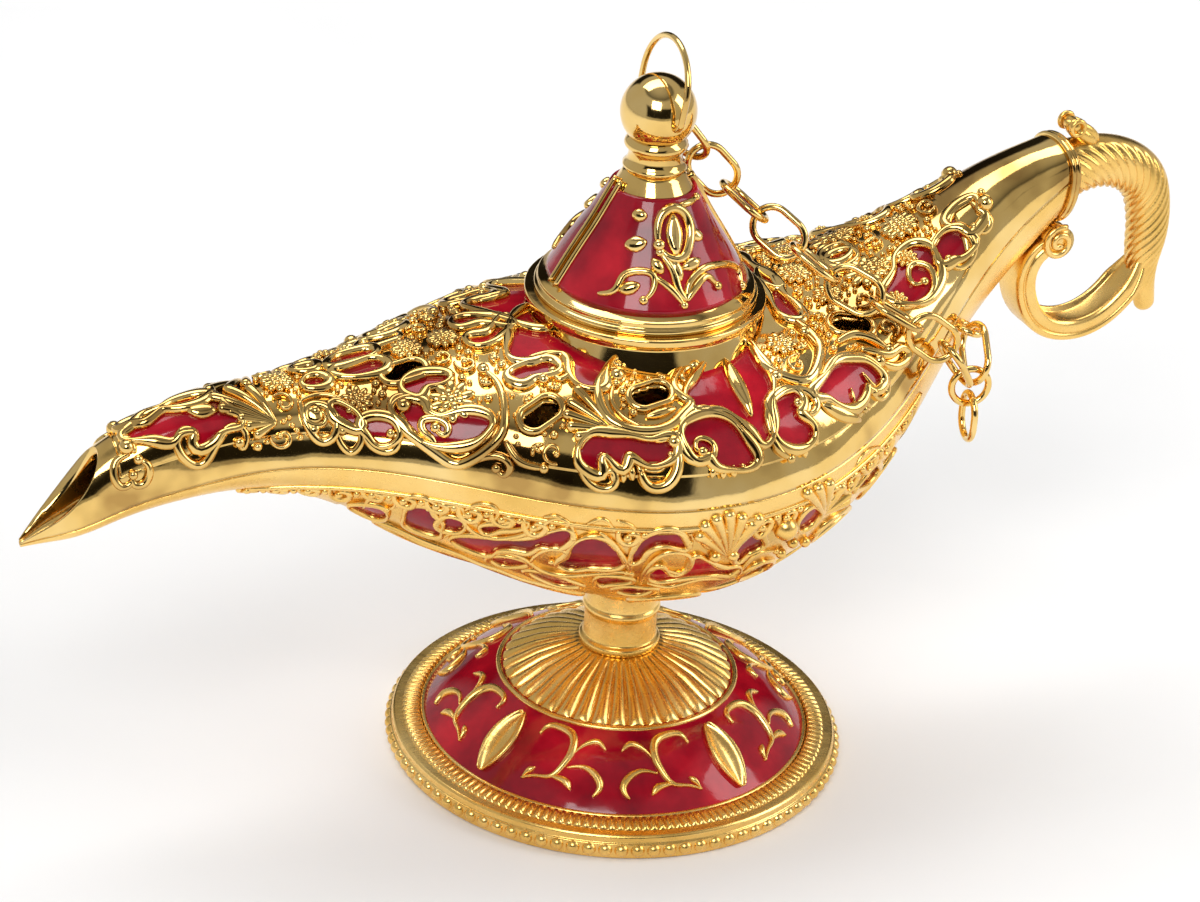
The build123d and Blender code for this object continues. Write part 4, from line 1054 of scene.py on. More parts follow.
shell_vines = [
    ([(-84.8, 74), (-83.0, 60), (-80.4, 50), (-77.9, 40)], 0.5),
    ([(-75.7, 42), (-75.0, 34), (-74.5, 41), (-75.1, 47), (-76.4, 49), (-77.3, 42), (-77.2, 30),
      (-76.1, 19), (-74.8, 14), (-73.5, 15), (-72.3, 23), (-70.8, 34), (-69.1, 41), (-67.6, 37),
      (-67.2, 28), (-67.9, 19), (-68.3, 25)], 1.0),
    ([(-84.3, 49), (-86.3, 49), (-86.9, 36), (-85.9, 19), (-84.7, 18), (-84.2, 25)], 0.9),
    ([(-84.2, 25), (-84.1, 16), (-82.9, 13), (-81.9, 18), (-81.9, 28), (-83.2, 38)], 0.9),
    ([(-58.4, 58), (-58.5, 43), (-57.9, 28), (-56.3, 18), (-54.7, 22), (-53.9, 34), (-54.5, 46),
      (-56.0, 52), (-57.7, 50), (-58.3, 40), (-57.2, 33), (-55.6, 35), (-55.4, 43), (-56.6, 46)], 1.0),
    ([(-58.4, 58), (-55.8, 62), (-52.7, 55), (-50.9, 40), (-50.0, 37)], 0.6),
    ([(-54.1, 28), (-53.8, 17), (-52.3, 10), (-51.2, 15), (-50.9, 25), (-52.0, 29), (-53.3, 27)], 0.8),
    ([(-50.4, 40), (-50.4, 25), (-49.3, 15), (-47.4, 12), (-46.2, 15), (-46.0, 23), (-46.7, 25)], 0.9),
    ([(-50.4, 40), (-48.3, 36), (-46.3, 36)], 0.5),
    ([(-42.3, 47), (-43.5, 52), (-45.0, 51), (-45.8, 46), (-45.5, 33), (-43.4, 22), (-41.0, 14),
      (-38.2, 9), (-36.1, 13), (-33.6, 21), (-31.8, 29), (-30.7, 39), (-30.1, 48), (-30.2, 58),
      (-31.1, 64)], 1.2),
    ([(-44.9, 45), (-44.1, 32), (-42.1, 21), (-38.8, 17), (-35.7, 20), (-33.0, 29), (-31.4, 39)], 0.5),
    ([(-40.9, 18), (-41.3, 23), (-42.3, 28), (-42.1, 34), (-40.7, 36), (-39.6, 35), (-38.8, 30),
      (-39.3, 26), (-40.2, 27), (-40.5, 30)], 1.0),
    ([(-35.9, 12), (-33.7, 16), (-31.9, 15), (-31.3, 11), (-32.2, 7), (-33.1, 10)], 0.9),
    ([(-31.5, 25), (-30.3, 16), (-26.8, 13)], 0.9),
    ([(-22.1, 21), (-20.9, 27), (-18.4, 32), (-15.0, 33), (-11.8, 30), (-9.6, 28), (-7.0, 30)], 0.9),
    ([(-22.0, 21), (-21.7, 14), (-20.3, 8), (-18.4, 7), (-17.1, 10), (-17.5, 15), (-18.9, 13),
      (-20.2, 13)], 0.9),
    ([(-13.4, 15), (-12.3, 9), (-10.0, 9), (-8.2, 14), (-7.5, 22), (-7.7, 27)], 1.3),
    ([(-13.0, 16), (-10.4, 16), (-8.6, 22)], 0.6),
    ([(-11.2, 60), (-11.8, 62), (-13.5, 59), (-15.7, 53), (-16.8, 43), (-16.2, 37), (-13.8, 33),
      (-10.4, 32), (-7.3, 34), (-4.5, 39), (-3.2, 42), (-4.1, 45), (-4.6, 49), (-3.5, 54), (-1.3, 57),
      (-0.0, 57)], 1.3),
    ([(-13.3, 53), (-14.8, 46), (-14.2, 39), (-12.4, 35), (-9.1, 33), (-6.3, 37)], 0.6),
    ([(-14.1, 55), (-12.8, 59), (-11.5, 58), (-12.0, 54), (-13.0, 53)], 0.8),
    ([(-0.1, 52), (0.1, 56), (-1.5, 56), (-2.6, 52), (-2.0, 50)], 0.8),
    ([(5.1, 13), (5.0, 19), (4.0, 26), (2.2, 33), (-0.3, 38), (-3.0, 39), (-5.3, 35), (-6.7, 28),
      (-6.3, 21), (-4.4, 18), (-2.3, 19), (-1.6, 24), (-2.6, 27), (-4.1, 27), (-4.4, 23), (-3.6, 22)], 1.0),
    ([(8.1, 24), (8.3, 32), (10.7, 38), (14.0, 39), (16.3, 36), (17.3, 30), (16.2, 27), (14.3, 29),
      (14.0, 33)], 1.0),
    ([(8.1, 24), (9.0, 17), (10.9, 12)], 0.9),
    ([(11.4, 64), (10.9, 57), (11.7, 49), (13.5, 45), (16.4, 41), (19.3, 43), (21.2, 50), (20.5, 60)], 1.2),
    ([(-23.6, 68), (-20.4, 69), (-18.4, 67), (-18.2, 63), (-19.4, 58), (-21.1, 56), (-21.4, 60)], 0.9),
    ([(16.4, 37), (18.8, 38), (21.2, 42), (23.8, 44), (26.5, 41), (28.9, 35), (30.3, 28), (31.3, 20),
      (31.0, 14), (29.3, 15), (28.3, 20)], 1.0),
    ([(16.7, 35), (18.8, 30), (21.5, 24), (24.1, 19), (25.9, 16)], 0.8),
    ([(27.0, 32), (27.9, 26), (29.3, 20), (31.1, 16)], 0.5),
    ([(28.0, 42), (30.3, 36), (32.8, 30), (35.6, 27), (36.6, 22), (35.1, 20), (32.1, 26), (30.6, 31)], 1.3),
    ([(20.1, 67), (21.1, 60), (21.6, 52), (20.2, 46), (17.6, 41), (15.6, 41), (13.9, 45), (12.1, 46)], 1.3),
    ([(35.4, 56), (36.7, 48), (40.2, 39), (43.4, 35), (44.5, 39), (44.0, 52), (42.3, 59), (41.0, 57),
      (41.1, 49), (42.8, 45)], 0.9),
    ([(46.5, 58), (48.6, 62), (50.3, 59), (51.9, 45), (52.5, 30), (51.3, 25), (49.0, 31), (47.8, 42)], 0.9),
    ([(49.8, 64), (51.4, 70), (54.1, 68), (56.2, 67)], 0.8),
    ([(54.2, 66), (55.0, 51), (55.9, 36), (54.7, 33), (53.2, 44)], 0.9),
    ([(24.7, 50), (28.0, 49), (31.0, 41), (32.9, 32)], 1.2),
]
shell_leaves = [
    ((-75.1, 71), (-70.7, 61), 2.6),
    ((-85.0, 83), (-83.5, 46), 2.0),
    ((-10.8, 38), (-5.6, 41), 1.6),
    ((5.4, 58), (5.7, 33), 2.6),
    ((-17.4, 17), (-17.4, 9), 1.1),
    ((-15.8, 16), (-16.0, 10), 1.1),
    ((-14.7, 18), (-14.6, 11), 1.1),
    ((-13.8, 18), (-12.9, 12), 1.1),
    ((-2.1, 16), (-2.6, 11), 1.1),
    ((-0.6, 15), (-0.8, 10), 1.1),
    ((0.9, 14), (1.1, 10), 1.1),
    ((2.5, 15), (3.0, 11), 1.1),
    ((3.8, 15), (4.7, 12), 1.1),
    ((11.8, 17), (10.6, 12), 1.1),
    ((13.6, 16), (13.7, 10), 1.1),
    ((15.5, 18), (16.0, 13), 1.1),
    ((18.1, 29), (25.1, 12), 2.5),
    ((24.2, 29), (24.3, 21), 0.5),
    ((25.9, 22), (27.4, 14), 0.9),
    ((-57.5, 49), (-56.3, 35), 3.0),
    ((-57.9, 31), (-56.7, 26), 2.2),
]
shell_beads = [
    ((-84.5, 58), 1.2),
    ((-44.1, 45), 1.2),
    ((-12.4, 56), 1.2),
    ((-23.4, 56), 0.9),
    ((55.9, 54), 1.4),
]
shell_flowers = [
    ((-37.3, 47), 3.6),
    ((-50.3, 52), 2.5),
    ((35.3, 74), 3.6),
    ((37.1, 108), 2.5),
    ((37.4, 131), 1.8),
    ((41.8, 115), 1.8),
    ((44.0, 88), 3.0),
]
shell_fans = [
    ((-62.6, 38), [(-71.2, 85), (-68.3, 94), (-65.1, 89)], 1.2),
    ((-62.6, 38), [(-70.6, 65), (-68.2, 49), (-67.3, 39), (-66.1, 28)], 1.2),
    ((-16.3, 33), [(-19.4, 52), (-21.4, 46), (-22.7, 40), (-22.7, 34), (-22.0, 29)], 1.2),
]
bowl_vines = [
    ([(-49.2, 44), (-48.5, 24), (-46.7, 20), (-45.6, 28), (-46.3, 35)], 0.7),
    ([(-45.5, 30), (-44.1, 17), (-41.6, 15), (-40.0, 20), (-41.3, 22)], 0.7),
    ([(-39.5, 26), (-38.9, 16), (-37.3, 15), (-36.6, 20)], 0.7),
    ([(-36.7, 17), (-35.4, 11), (-33.1, 10), (-32.4, 14), (-33.5, 19), (-34.6, 18)], 0.7),
    ([(-36.7, 17), (-36.0, 26), (-33.8, 30), (-31.0, 28), (-28.5, 22), (-26.4, 14), (-24.7, 9),
      (-22.7, 12), (-22.0, 18)], 0.8),
    ([(-38.0, 45), (-36.7, 34), (-34.6, 33)], 0.5),
    ([(-37.2, 42), (-32.7, 57), (-27.5, 67)], 0.5),
    ([(-31.0, 45), (-29.4, 37), (-27.0, 38), (-24.4, 43), (-20.6, 43), (-16.9, 37), (-12.6, 33)], 0.8),
    ([(-25.9, 40), (-25.5, 31), (-23.6, 26), (-22.1, 27), (-22.1, 32), (-23.4, 35)], 0.8),
    ([(-22.0, 22), (-21.0, 18), (-18.7, 15), (-16.5, 18), (-14.0, 27), (-12.6, 33), (-12.8, 25),
      (-12.5, 17)], 0.8),
    ([(-26.6, 10), (-24.8, 8), (-23.3, 12)], 0.6),
    ([(-20.7, 10), (-18.7, 6), (-16.8, 11)], 0.6),
    ([(-16.7, 6), (-14.6, 8), (-13.2, 12)], 0.6),
    ([(-18.7, 13), (-16.7, 17), (-14.3, 25), (-11.9, 33)], 0.8),
    ([(-11.9, 33), (-13.3, 20), (-12.2, 13), (-9.3, 9), (-6.6, 11), (-4.9, 16)], 0.8),
    ([(-9.2, 40), (-9.9, 28), (-7.9, 21), (-4.8, 22), (-3.5, 27), (-3.9, 32), (-6.1, 31), (-7.9, 28)], 0.8),
    ([(-16.4, 35), (-13.5, 33), (-11.7, 34)], 0.7),
    ([(-8.3, 39), (-4.1, 41), (-0.4, 37), (5.6, 39), (7.0, 35), (8.0, 29), (12.3, 32)], 0.8),
    ([(24.7, 8), (26.2, 4), (29.2, 7), (33.2, 19), (30.4, 17), (27.5, 16), (26.0, 21)], 0.6),
]
bowl_fans = [
    ((2.3, 25), [(-4.3, 12), (-3.7, 7), (-1.9, 4), (0.3, 2), (2.8, 5), (5.3, 10), (6.3, 8)], 0.9),
    ((20.0, 23), [(13.8, 3), (16.1, 3), (18.6, 4), (22.2, 11), (24.9, 20), (25.4, 25)], 0.9),
]
bowl_beads = [
    ((0.1, 24), 1.0),
    ((3.3, 25), 1.0),
    ((11.4, 18), 2.0),
    ((13.8, 35), 0.9),
    ((15.2, 31), 0.9),
    ((18.9, 37), 0.9),
]
lid_vines = [
    ([(-108, 0.54), (-109, 0.67), (-104, 0.76), (-92, 0.8), (-79, 0.76), (-75, 0.65), (-81, 0.52),
      (-90, 0.44), (-99, 0.45), (-108, 0.54)], 0.9),
    ([(-91, 0.14), (-95, 0.22), (-98, 0.36), (-107, 0.49)], 0.7),
    ([(-91, 0.14), (-88, 0.25), (-77, 0.33), (-58, 0.32), (-39, 0.18), (-44, 0.09)], 0.7),
    ([(-91, 0.14), (-82, 0.24), (-73, 0.28), (-67, 0.19)], 0.7),
    ([(-145, 0.14), (-135, 0.2), (-132, 0.3), (-123, 0.35), (-112, 0.33), (-113, 0.2), (-117, 0.15)], 0.7),
    ([(-112, 0.33), (-103, 0.26), (-96, 0.17), (-93, 0.11)], 0.6),
    ([(-83, 0.81), (-68, 0.81), (-49, 0.82)], 0.6),
]
lid_leaves = [
    ((-92, 0.76), (-94, 0.46), 2.8),
    ((-138, 0.74), (-120, 0.74), 2.2),
    ((-137, 0.51), (-118, 0.56), 2.6),
    ((-113, 0.45), (-105, 0.34), 1.9),
    ((-97, 0.44), (-93, 0.28), 2.0),
    ((-91, 0.37), (-74, 0.41), 2.0),
    ((-75, 0.62), (-65, 0.53), 2.0),
    ((-133, 0.19), (-120, 0.26), 2.2),
]


def place_on(kind, at, side):
    """Points of a skin, and the outward direction there."""
    at = np.asarray(at, float)

    def spot(u, v):
        if kind in ("shell", "bowl"):
            turn = math.pi - np.radians(v) if side < 0 else np.radians(v)
            return skin(u, turn, kind == "shell")
        turn = np.radians(u) * (1 if side < 0 else -1)
        if kind == "lid":
            radius, height = cone_line(v)
        else:
            radius, height = v, foot_top(v)
        return np.stack([radius * np.cos(turn), radius * np.sin(turn), height + 0 * turn], -1)

    u, v = at[..., 0], at[..., 1]
    if kind in ("shell", "bowl"):
        v = np.clip(v, 1.5, 178.5)
    step_u, step_v = {"shell": (0.3, 0.6), "bowl": (0.3, 0.6), "lid": (1.0, 0.01), "foot": (1.0, 0.2)}[kind]
    here = spot(u, v)
    normal = np.cross(spot(u + step_u, v) - spot(u - step_u, v), spot(u, v + step_v) - spot(u, v - step_v))
    normal = unit(normal)
    if kind in ("shell", "bowl"):
        middle = np.stack([u, 0 * u, rim_line(u)], -1)
    else:
        middle = here * np.array([0, 0, 1.0]) - np.array([0, 0, 6.0])
    normal *= np.sign((normal * (here - middle)).sum(-1))[..., None]
    return here, normal


def even_path(kind, controls, side, step=0.35):
    """Evenly spaced points and directions of a smooth line drawn on a skin."""
    controls = np.asarray(controls, float)
    points = place_on(kind, controls, side)[0]
    knots = length_along(points, 0.05)
    count = max(5, int(knots[-1] / step) + 1)
    return place_on(kind, natural_spline(knots, controls)(np.linspace(0, knots[-1], count)), side)


def straight_path(kind, start, end, side, step=0.35):
    """Even path from one place to another, and the share of the way at each point."""
    path, normals = even_path(kind, [start, (np.array(start) + end) / 2, end], side, step)
    return path, normals, np.linspace(0, 1, len(path))


# Round top of a ridge, as (across, up) shares
ridge_top = [(math.sin(t), math.cos(t)) for t in np.radians(np.linspace(-90, 90, 9))]
vine_widths = {"shell": 1.35, "bowl": 1.35, "lid": 1.75, "foot": 1.0}


def raised_line(path, normals, widths, heights, root=1.1):
    """Rounded ridge along a path on a skin; widths and heights are single numbers or one for each point."""
    widths, heights = (np.full(len(path), sizes) for sizes in (widths, heights))
    across = unit(np.cross(normals, directions(path)))
    grid = [path + across * (a * widths / 2)[:, None] + normals * (h * heights)[:, None] for a, h in ridge_top]
    grid += [path + across * (way * widths / 2)[:, None] - normals * root for way in (1, -1)]
    return tube(np.stack(grid, 1))


def vine(kind, controls, width, side):
    """Scroll: a ridge that swells in the middle and ends in a small knob."""
    path, normals = even_path(kind, controls, side)
    share = np.linspace(0, 1, len(path))
    width = width * vine_widths[kind]
    if kind == "foot":
        widths = width * (0.42 + 0.95 * np.sin(math.pi * share ** 1.5))
        return raised_line(path, normals, widths, 0.35 + 0.3 * widths)
    widths = width * (0.55 + 0.55 * np.sin(math.pi * np.clip(share * 1.05, 0, 1)) ** 0.6)
    knob = 0.62 * width
    forward, normal = unit(path[-1] - path[-2]), normals[-1]
    axes = np.array([forward, np.cross(normal, forward), normal])
    return merge([raised_line(path, normals, widths, 0.55 * widths),
                  pebble(path[-1] + normal * 0.3 * knob, axes, (knob, knob, knob * 0.8))])


def leaf(kind, start, end, width, side):
    """Almond-shaped leaf with a ridge down its middle."""
    path, normals, share = straight_path(kind, start, end, side, 0.3)
    widths = width * np.sin(math.pi * np.clip(0.04 + share * 0.92, 0, 1)) ** 0.75
    return raised_line(path, normals, widths, np.minimum(0.45 * widths, 0.75))


def hollow_leaf(kind, start, end, width, side):
    """Almond-shaped leaf, dished, with a raised rim."""
    path, normals, share = straight_path(kind, start, end, side, 0.3)
    halves = 0.5 * width * np.sin(math.pi * np.clip(0.03 + share * 0.94, 0, 1)) ** 0.75
    across = unit(np.cross(normals, np.gradient(path, axis=0)))
    places = np.array([-1.0, -0.97, -0.84, -0.7, -0.45, -0.2, 0, 0.2, 0.45, 0.7, 0.84, 0.97, 1.0])
    rise = np.array([0.3, 0.85, 0.95, 0.6, 0.35, 0.2, 0.14, 0.2, 0.35, 0.6, 0.95, 0.85, 0.3])
    low = np.minimum(rise[None, :], 0.3 + 0.9 * halves[:, None])
    sheet = path[:, None] + (halves[:, None] * places)[..., None] * across[:, None]
    return slab(sheet + low[..., None] * normals[:, None], sheet - 0.4 * normals[:, None])


def flower(kind, at, radius, side, petals=10):
    """Round blossom: two rings of petals and a beaded eye."""
    centre, normal = place_on(kind, np.array(at), side)
    east = unit(np.cross(normal, (0, 1.0, 0.3)))
    north = np.cross(normal, east)
    pieces = []
    for ring, (reach, size, count) in enumerate(((0.66, 0.40, petals), (0.34, 0.26, petals - 4))):
        for i in range(count):
            turn = 2 * math.pi * (i + 0.5 * ring) / count
            out = east * math.cos(turn) + north * math.sin(turn)
            wide = radius * math.sin(math.pi / count) * reach * 1.15
            pieces.append(pebble(centre + out * radius * reach + normal * (0.1 + 0.35 * ring),
                                 np.array([out, np.cross(normal, out), normal]), (radius * size, wide, 0.5)))
    eye = (radius * 0.24, radius * 0.24, 0.6)
    pieces.append(pebble(centre + normal * 0.55, np.array([east, north, normal]), eye))
    return merge(pieces)


def fan(kind, root, tips, width, side):
    """Shell-shaped fan of ribs that widen to round ends."""
    pieces = []
    for tip in tips:
        path, normals, share = straight_path(kind, root, tip, side)
        widths = width * (1.5 if kind == "shell" else 2.2) * (0.35 + 0.75 * share)
        widths[-2:] *= np.array([0.85, 0.5])
        pieces.append(raised_line(path, normals, widths, 0.55 * widths))
    return merge(pieces)


def bead_on(kind, at, radius, side):
    centre, normal = place_on(kind, np.array(at, float), side)
    return ball(centre + normal * radius * 0.25, radius, 1.0, 7, 12)


def grommet(x, y, turn):
    """Lipped wall of an opening in the shell."""
    width = float(half_width(x))
    rise = math.degrees(math.acos(np.clip(abs(y) / width, 0, 1)))
    side = -1 if y < 0 else 1
    centre, normal = place_on("shell", np.array((x, rise)), side)
    east = unit(np.array([1.0, 0, 0]) - normal * normal[0])
    north = np.cross(normal, east)
    half_run = (pierce_length - pierce_width) / 2
    loop = []
    for t in full_turn(48):
        a = pierce_width / 2 * math.cos(t) + math.copysign(half_run, math.cos(t))
        b = pierce_width / 2 * math.sin(t)
        loop.append((a * math.cos(turn) - b * math.sin(turn), b * math.cos(turn) + a * math.sin(turn)))
    loop = np.array(loop)
    outward = unit(loop)
    section = [(0.0, -2.4), (0.0, 0.3), (0.3, 0.6), (0.8, 0.55), (1.15, 0.2), (1.25, -0.5), (0.7, -0.6), (0.7, -2.4)]
    grid = []
    for out, up in section:
        flat = loop + outward * out
        grid.append(centre + flat[:, :1] * east + flat[:, 1:] * north + normal * up)
    return tube(np.array(grid), closed=True, flip=True)


def relief(kind, vines=(), leaves=(), flowers=(), fans=(), beads=()):
    """All the ornaments of one skin, on both sides."""
    makers = ((vine, vines), (leaf, leaves), (flower, flowers), (fan, fans), (bead_on, beads))
    return merge([make(kind, *row, side) for side in (-1, 1) for make, rows in makers for row in rows])


def add_relief(name, built, material, body):
    thing = as_object(name, *built, material, body)
    return thing


def cell_borders(kind, cells, half, high):
    """Rounded ridge round every enamel cell, swelling and thinning along its way."""
    pieces = []
    for side in (-1, 1):
        for number, controls in enumerate(cells):
            loop = cell_loop(controls, 40)
            points = place_on(kind, loop, side)[0]
            length = np.linalg.norm(np.roll(points, -1, 0) - points, axis=1).sum()
            loop = cell_loop(controls, max(24, int(length / 0.4)))
            points, normals = place_on(kind, loop, side)
            across = unit(np.cross(normals, directions(points, True)))
            outward = np.sign(((points - points.mean(0)) * across).sum(-1).mean())
            points = points + across * outward * 0.75 * half
            waves = max(1, round(length / 9))
            swell = 2 * math.pi * (np.arange(len(loop)) / len(loop) * waves + 0.37 * number)
            swell = 1 + 0.3 * np.sin(swell)[:, None]
            section = [(-half, -0.9)] + [(half * a, high * h) for a, h in ridge_top] + [(half, -0.9)]
            pieces.append(tube(np.stack([points + across * a * swell + normals * h for a, h in section], 1), True))
    return merge(pieces)


def search_tree(spots):
    tree = KDTree(len(spots))
    for i, spot in enumerate(spots):
        tree.insert(spot, i)
    tree.balance()
    return tree


# Filling of the shell's ground. Spans: x from, x to, degrees from, degrees to
ground_spans = [(-66, -24, 18, 92), (-64, -30, 45, 92), (24, 50, 34, 92), (-24, 24, 30, 62)]
# Blossoms, curls, sprigs, berries, small berries: the room that each needs, and how many there are at most
ground_kinds = [(2.5, 16), (1.8, 70), (1.3, 90), (0.8, 130), (0.5, 240)]
ground_seed, chain_room, degrees_per_radian = 7, 2.3, 57.3
blossom_radius, blossom_petals, curl_size, berry_radii = 2.4, 9, 1.8, (0.72, 0.46)


def scatter(kinds, spans, seed, near_by):
    """Seeded places on the shell's gold ground, clear of cells, openings, neck, chain, relief and one another."""
    draw = np.random.default_rng(seed)
    links = search_tree(np.concatenate([link_mesh(chain_points, index)[0] for index in range(1, 13)]))
    relief_here = search_tree(near_by)
    kept, spots, rooms = [], [], []
    for mark, (room, count) in enumerate(kinds):
        tries = count * 40
        pick = np.array(spans, float)[draw.integers(len(spans), size=tries)]
        x = pick[:, 0] + draw.random(tries) * (pick[:, 1] - pick[:, 0])
        rise = pick[:, 2] + draw.random(tries) * (pick[:, 3] - pick[:, 2])
        points = place_on("shell", np.stack([x, rise], -1), -1)[0]
        clear = (np.hypot(points[:, 0], points[:, 1]) > neck_radius + room + 0.3) & ~in_slots(points, 0.8 + room)
        clear &= ~in_cells(red_cells, x, rise)
        degrees_per_mm = degrees_per_radian / np.maximum(half_width(x), 6)
        for turn in full_turn(6):
            clear &= ~in_cells(red_cells, x + 0.8 * room * math.cos(turn),
                               rise + 0.8 * room * math.sin(turn) * degrees_per_mm)
        found = 0
        for i in np.where(clear)[0]:
            if spots and (np.linalg.norm(np.array(spots) - points[i], axis=1) < np.array(rooms) + room).any():
                continue
            if links.find(points[i])[2] < chain_room or relief_here.find(points[i])[2] < 0.85 * room + 0.3:
                continue
            kept.append((x[i], rise[i], mark))
            spots.append(points[i])
            rooms.append(room)
            found += 1
            if found == count:
                break
    return kept, draw


def local_axes(normal, side):
    east = unit(np.cross(normal, (0.2, 1.0, 0.1)))
    return east, np.cross(normal, east) * side


def curl(centre, normal, east, north, size):
    """Comma-shaped scroll that winds in to a knob."""
    path = []
    for share in np.linspace(0, 1, 26):
        turn = -0.6 + share * 5.6
        reach = size * (1.05 - 0.75 * share ** 0.8)
        path.append(centre + east * reach * math.cos(turn) + north * reach * math.sin(turn))
    path = np.array(path)
    share = np.linspace(0, 1, len(path))
    widths = 0.42 * size * (0.5 + 0.5 * np.sin(math.pi * np.clip(share * 0.9 + 0.05, 0, 1)))
    knob = pebble(path[-1] + normal * 0.1, np.array([east, north, normal]), (0.3 * size, 0.3 * size, 0.7))
    return merge([raised_line(path, np.tile(normal, (len(path), 1)), widths, 0.6, 0.9), knob])


def ground_relief(near_by):
    """Blossoms, curls, sprigs and berries that fill the gold ground between the cells."""
    places, draw = scatter(ground_kinds, ground_spans, ground_seed, near_by)
    pieces = []
    for x, rise, mark in places:
        turn = draw.uniform(0, 2 * math.pi)
        hand = 1 if draw.random() < 0.5 else -1
        for side in (-1, 1):
            centre, normal = place_on("shell", np.array((x, rise)), side)
            east, north = local_axes(normal, side)
            out = east * math.cos(turn) + north * math.sin(turn)
            across = np.cross(normal, out)
            if mark == 0:
                pieces.append(flower("shell", (x, rise), blossom_radius, side, blossom_petals))
            elif mark == 1:
                pieces.append(curl(centre, normal, out, across * hand * side, curl_size))
            elif mark == 2:
                for lean in (-0.9, 0, 0.9):
                    bent = out * math.cos(lean) + across * math.sin(lean)
                    axes = np.array([bent, np.cross(normal, bent), normal])
                    pieces.append(pebble(centre + bent * 0.7 - normal * 0.15, axes, (0.95, 0.42, 0.85)))
            else:
                berry = berry_radii[mark - 3]
                axes = np.array([out, across, normal])
                pieces.append(pebble(centre - normal * 0.1, axes, (berry, berry, berry + 0.05)))
    return merge(pieces)


# Half width and height of the ridges round the cells
shell_border, bowl_border = (0.8, 0.85), (0.5, 0.5)

borders = cell_borders("shell", red_cells, *shell_border)
scrolls = relief("shell", shell_vines, shell_leaves, shell_flowers, shell_fans, shell_beads)
add_relief("shell_cell_borders", borders, polished, "body")
add_relief("shell_relief", scrolls, polished, "body")
add_relief("shell_ground", ground_relief(np.concatenate([borders[0], scrolls[0]])), polished, "body")
add_relief("bowl_cell_borders", cell_borders("bowl", bowl_cells, *bowl_border), satin, "body")
on_gold = []
for controls, width in bowl_vines:
    line = np.array(controls, float)
    if in_cells(bowl_cells, line[:, 0], line[:, 1]).mean() < 0.3:
        on_gold.append((controls, 0.8 * width))
add_relief("bowl_relief", relief("bowl", on_gold, (), (), bowl_fans, bowl_beads), satin, "body")


frieze_low, frieze_high, frieze_step = -66.0, 41.0, 4.3


def frieze():
    """Row of scrolls and lobes along the top of the bowl's field, where no cell is."""
    pieces = []
    for side in (-1, 1):
        for i, x in enumerate(np.arange(frieze_low, frieze_high, frieze_step)):
            base = math.degrees(float(seam_share(np.array(x), False))) - 1.5
            lift = (8.0 if i % 2 else 6.0) * (1.0 if x > -50 else 2.0)
            steps = [(-1.7, 0), (-1.3, 0.7), (-0.1, 1), (1.2, 0.7), (1.1, 0.2), (0.2, 0.15), (-0.2, 0.5)]
            curl_line = np.array([(x + run, base + share * lift) for run, share in steps])
            if in_cells(bowl_cells, curl_line[:, 0], curl_line[:, 1]).mean() > 0.15:
                continue
            pieces.append(vine("bowl", curl_line, 0.85, side))
            pieces.append(bead_on("bowl", (x + 2.1, base + 1.0), 0.6, side))
        edge = [(x, math.degrees(float(seam_share(np.array(x), False))) - 2.5)
                for x in np.linspace(frieze_low, frieze_high, 46)]
        path, normals = even_path("bowl", edge, side, 0.5)
        pieces.append(raised_line(path, normals, 0.8, 0.4))
    return merge(pieces)


foot_leaf_turns = (-158.5, -72.0, 20.0, 108.0)
foot_vines = [
    ([(13.9, 29.1), (18.5, 28.3), (22.7, 27.9), (25.9, 26.1), (27.5, 23.7), (25.7, 21.7), (19.9, 20.9),
      (13.8, 21.3), (12.5, 22.9)], 1.1),
    ([(22.7, 27.9), (25.4, 27.9), (28.2, 28.1), (30.3, 29.0)], 1.0),
    ([(28.7, 24.2), (31.5, 22.8), (36.6, 22.0), (40.1, 23.2)], 0.8),
    ([(27.6, 26.4), (32.7, 25.9), (37.8, 26.8), (39.5, 28.2), (37.5, 29.4)], 1.0),
    ([(14.2, 28.9), (15.2, 28.0), (17.0, 27.4)], 0.8),
]


def foot_relief():
    """Dished leaves with a pair of mirrored vines beside each, between two plain rings."""
    pieces = []
    for turn in foot_leaf_turns:
        pieces.append(hollow_leaf("foot", (turn, 21.0), (turn, 30.3), 5.0, -1))
        for way in (-1, 1):
            for controls, width in foot_vines:
                pieces.append(vine("foot", [(turn + way * a, r) for a, r in controls], width, -1))
    for radius, size in ((19.3, 0.9), (31.3, 0.8)):
        ring = [(a, radius) for a in np.linspace(0, 360, 121)]
        path, normals = place_on("foot", np.array(ring), -1)
        pieces.append(raised_line(path, normals, size, 0.4))
    return merge(pieces)


def lid_ribs_relief():
    """Double ridge down each side of the lid."""
    pieces = []
    for turn in (0, 180):
        for way in (-1, 1):
            line = []
            for share in np.linspace(0.04, 0.93, 24):
                radius, _ = cone_line(share)
                line.append((turn + way * math.degrees(0.95 / float(radius)), share))
            path, normals = place_on("lid", np.array(line), -1)
            pieces.append(raised_line(path, normals, 0.8, 0.45))
    return merge(pieces)


add_relief("bowl_frieze", frieze(), satin, "body")
add_relief("foot_relief", foot_relief(), satin, "body")
add_relief("lid_ribs_relief", lid_ribs_relief(), polished, "lid")
add_relief("lid_relief", relief("lid", lid_vines, lid_leaves), polished, "lid")
add_relief("shell_grommets", merge([grommet(*at) for at in pierce_places()]), polished, "body")


# Stage: floor, light and camera

photo_width, focal_pixels, sensor_width = 1200.0, 3788.9, 36.0
camera_azimuth, camera_elevation, camera_roll = -26.0, 27.94, 4.07
camera_target, camera_distance = (-4.683, 2.284, 52.23), 600.0
floor_reach, floor_drop = 6.0, 0.0002
side_panels, world_strength = (0.899, -0.438, 0.0), 0.47
lamp_target = (0, 0, 0.06)
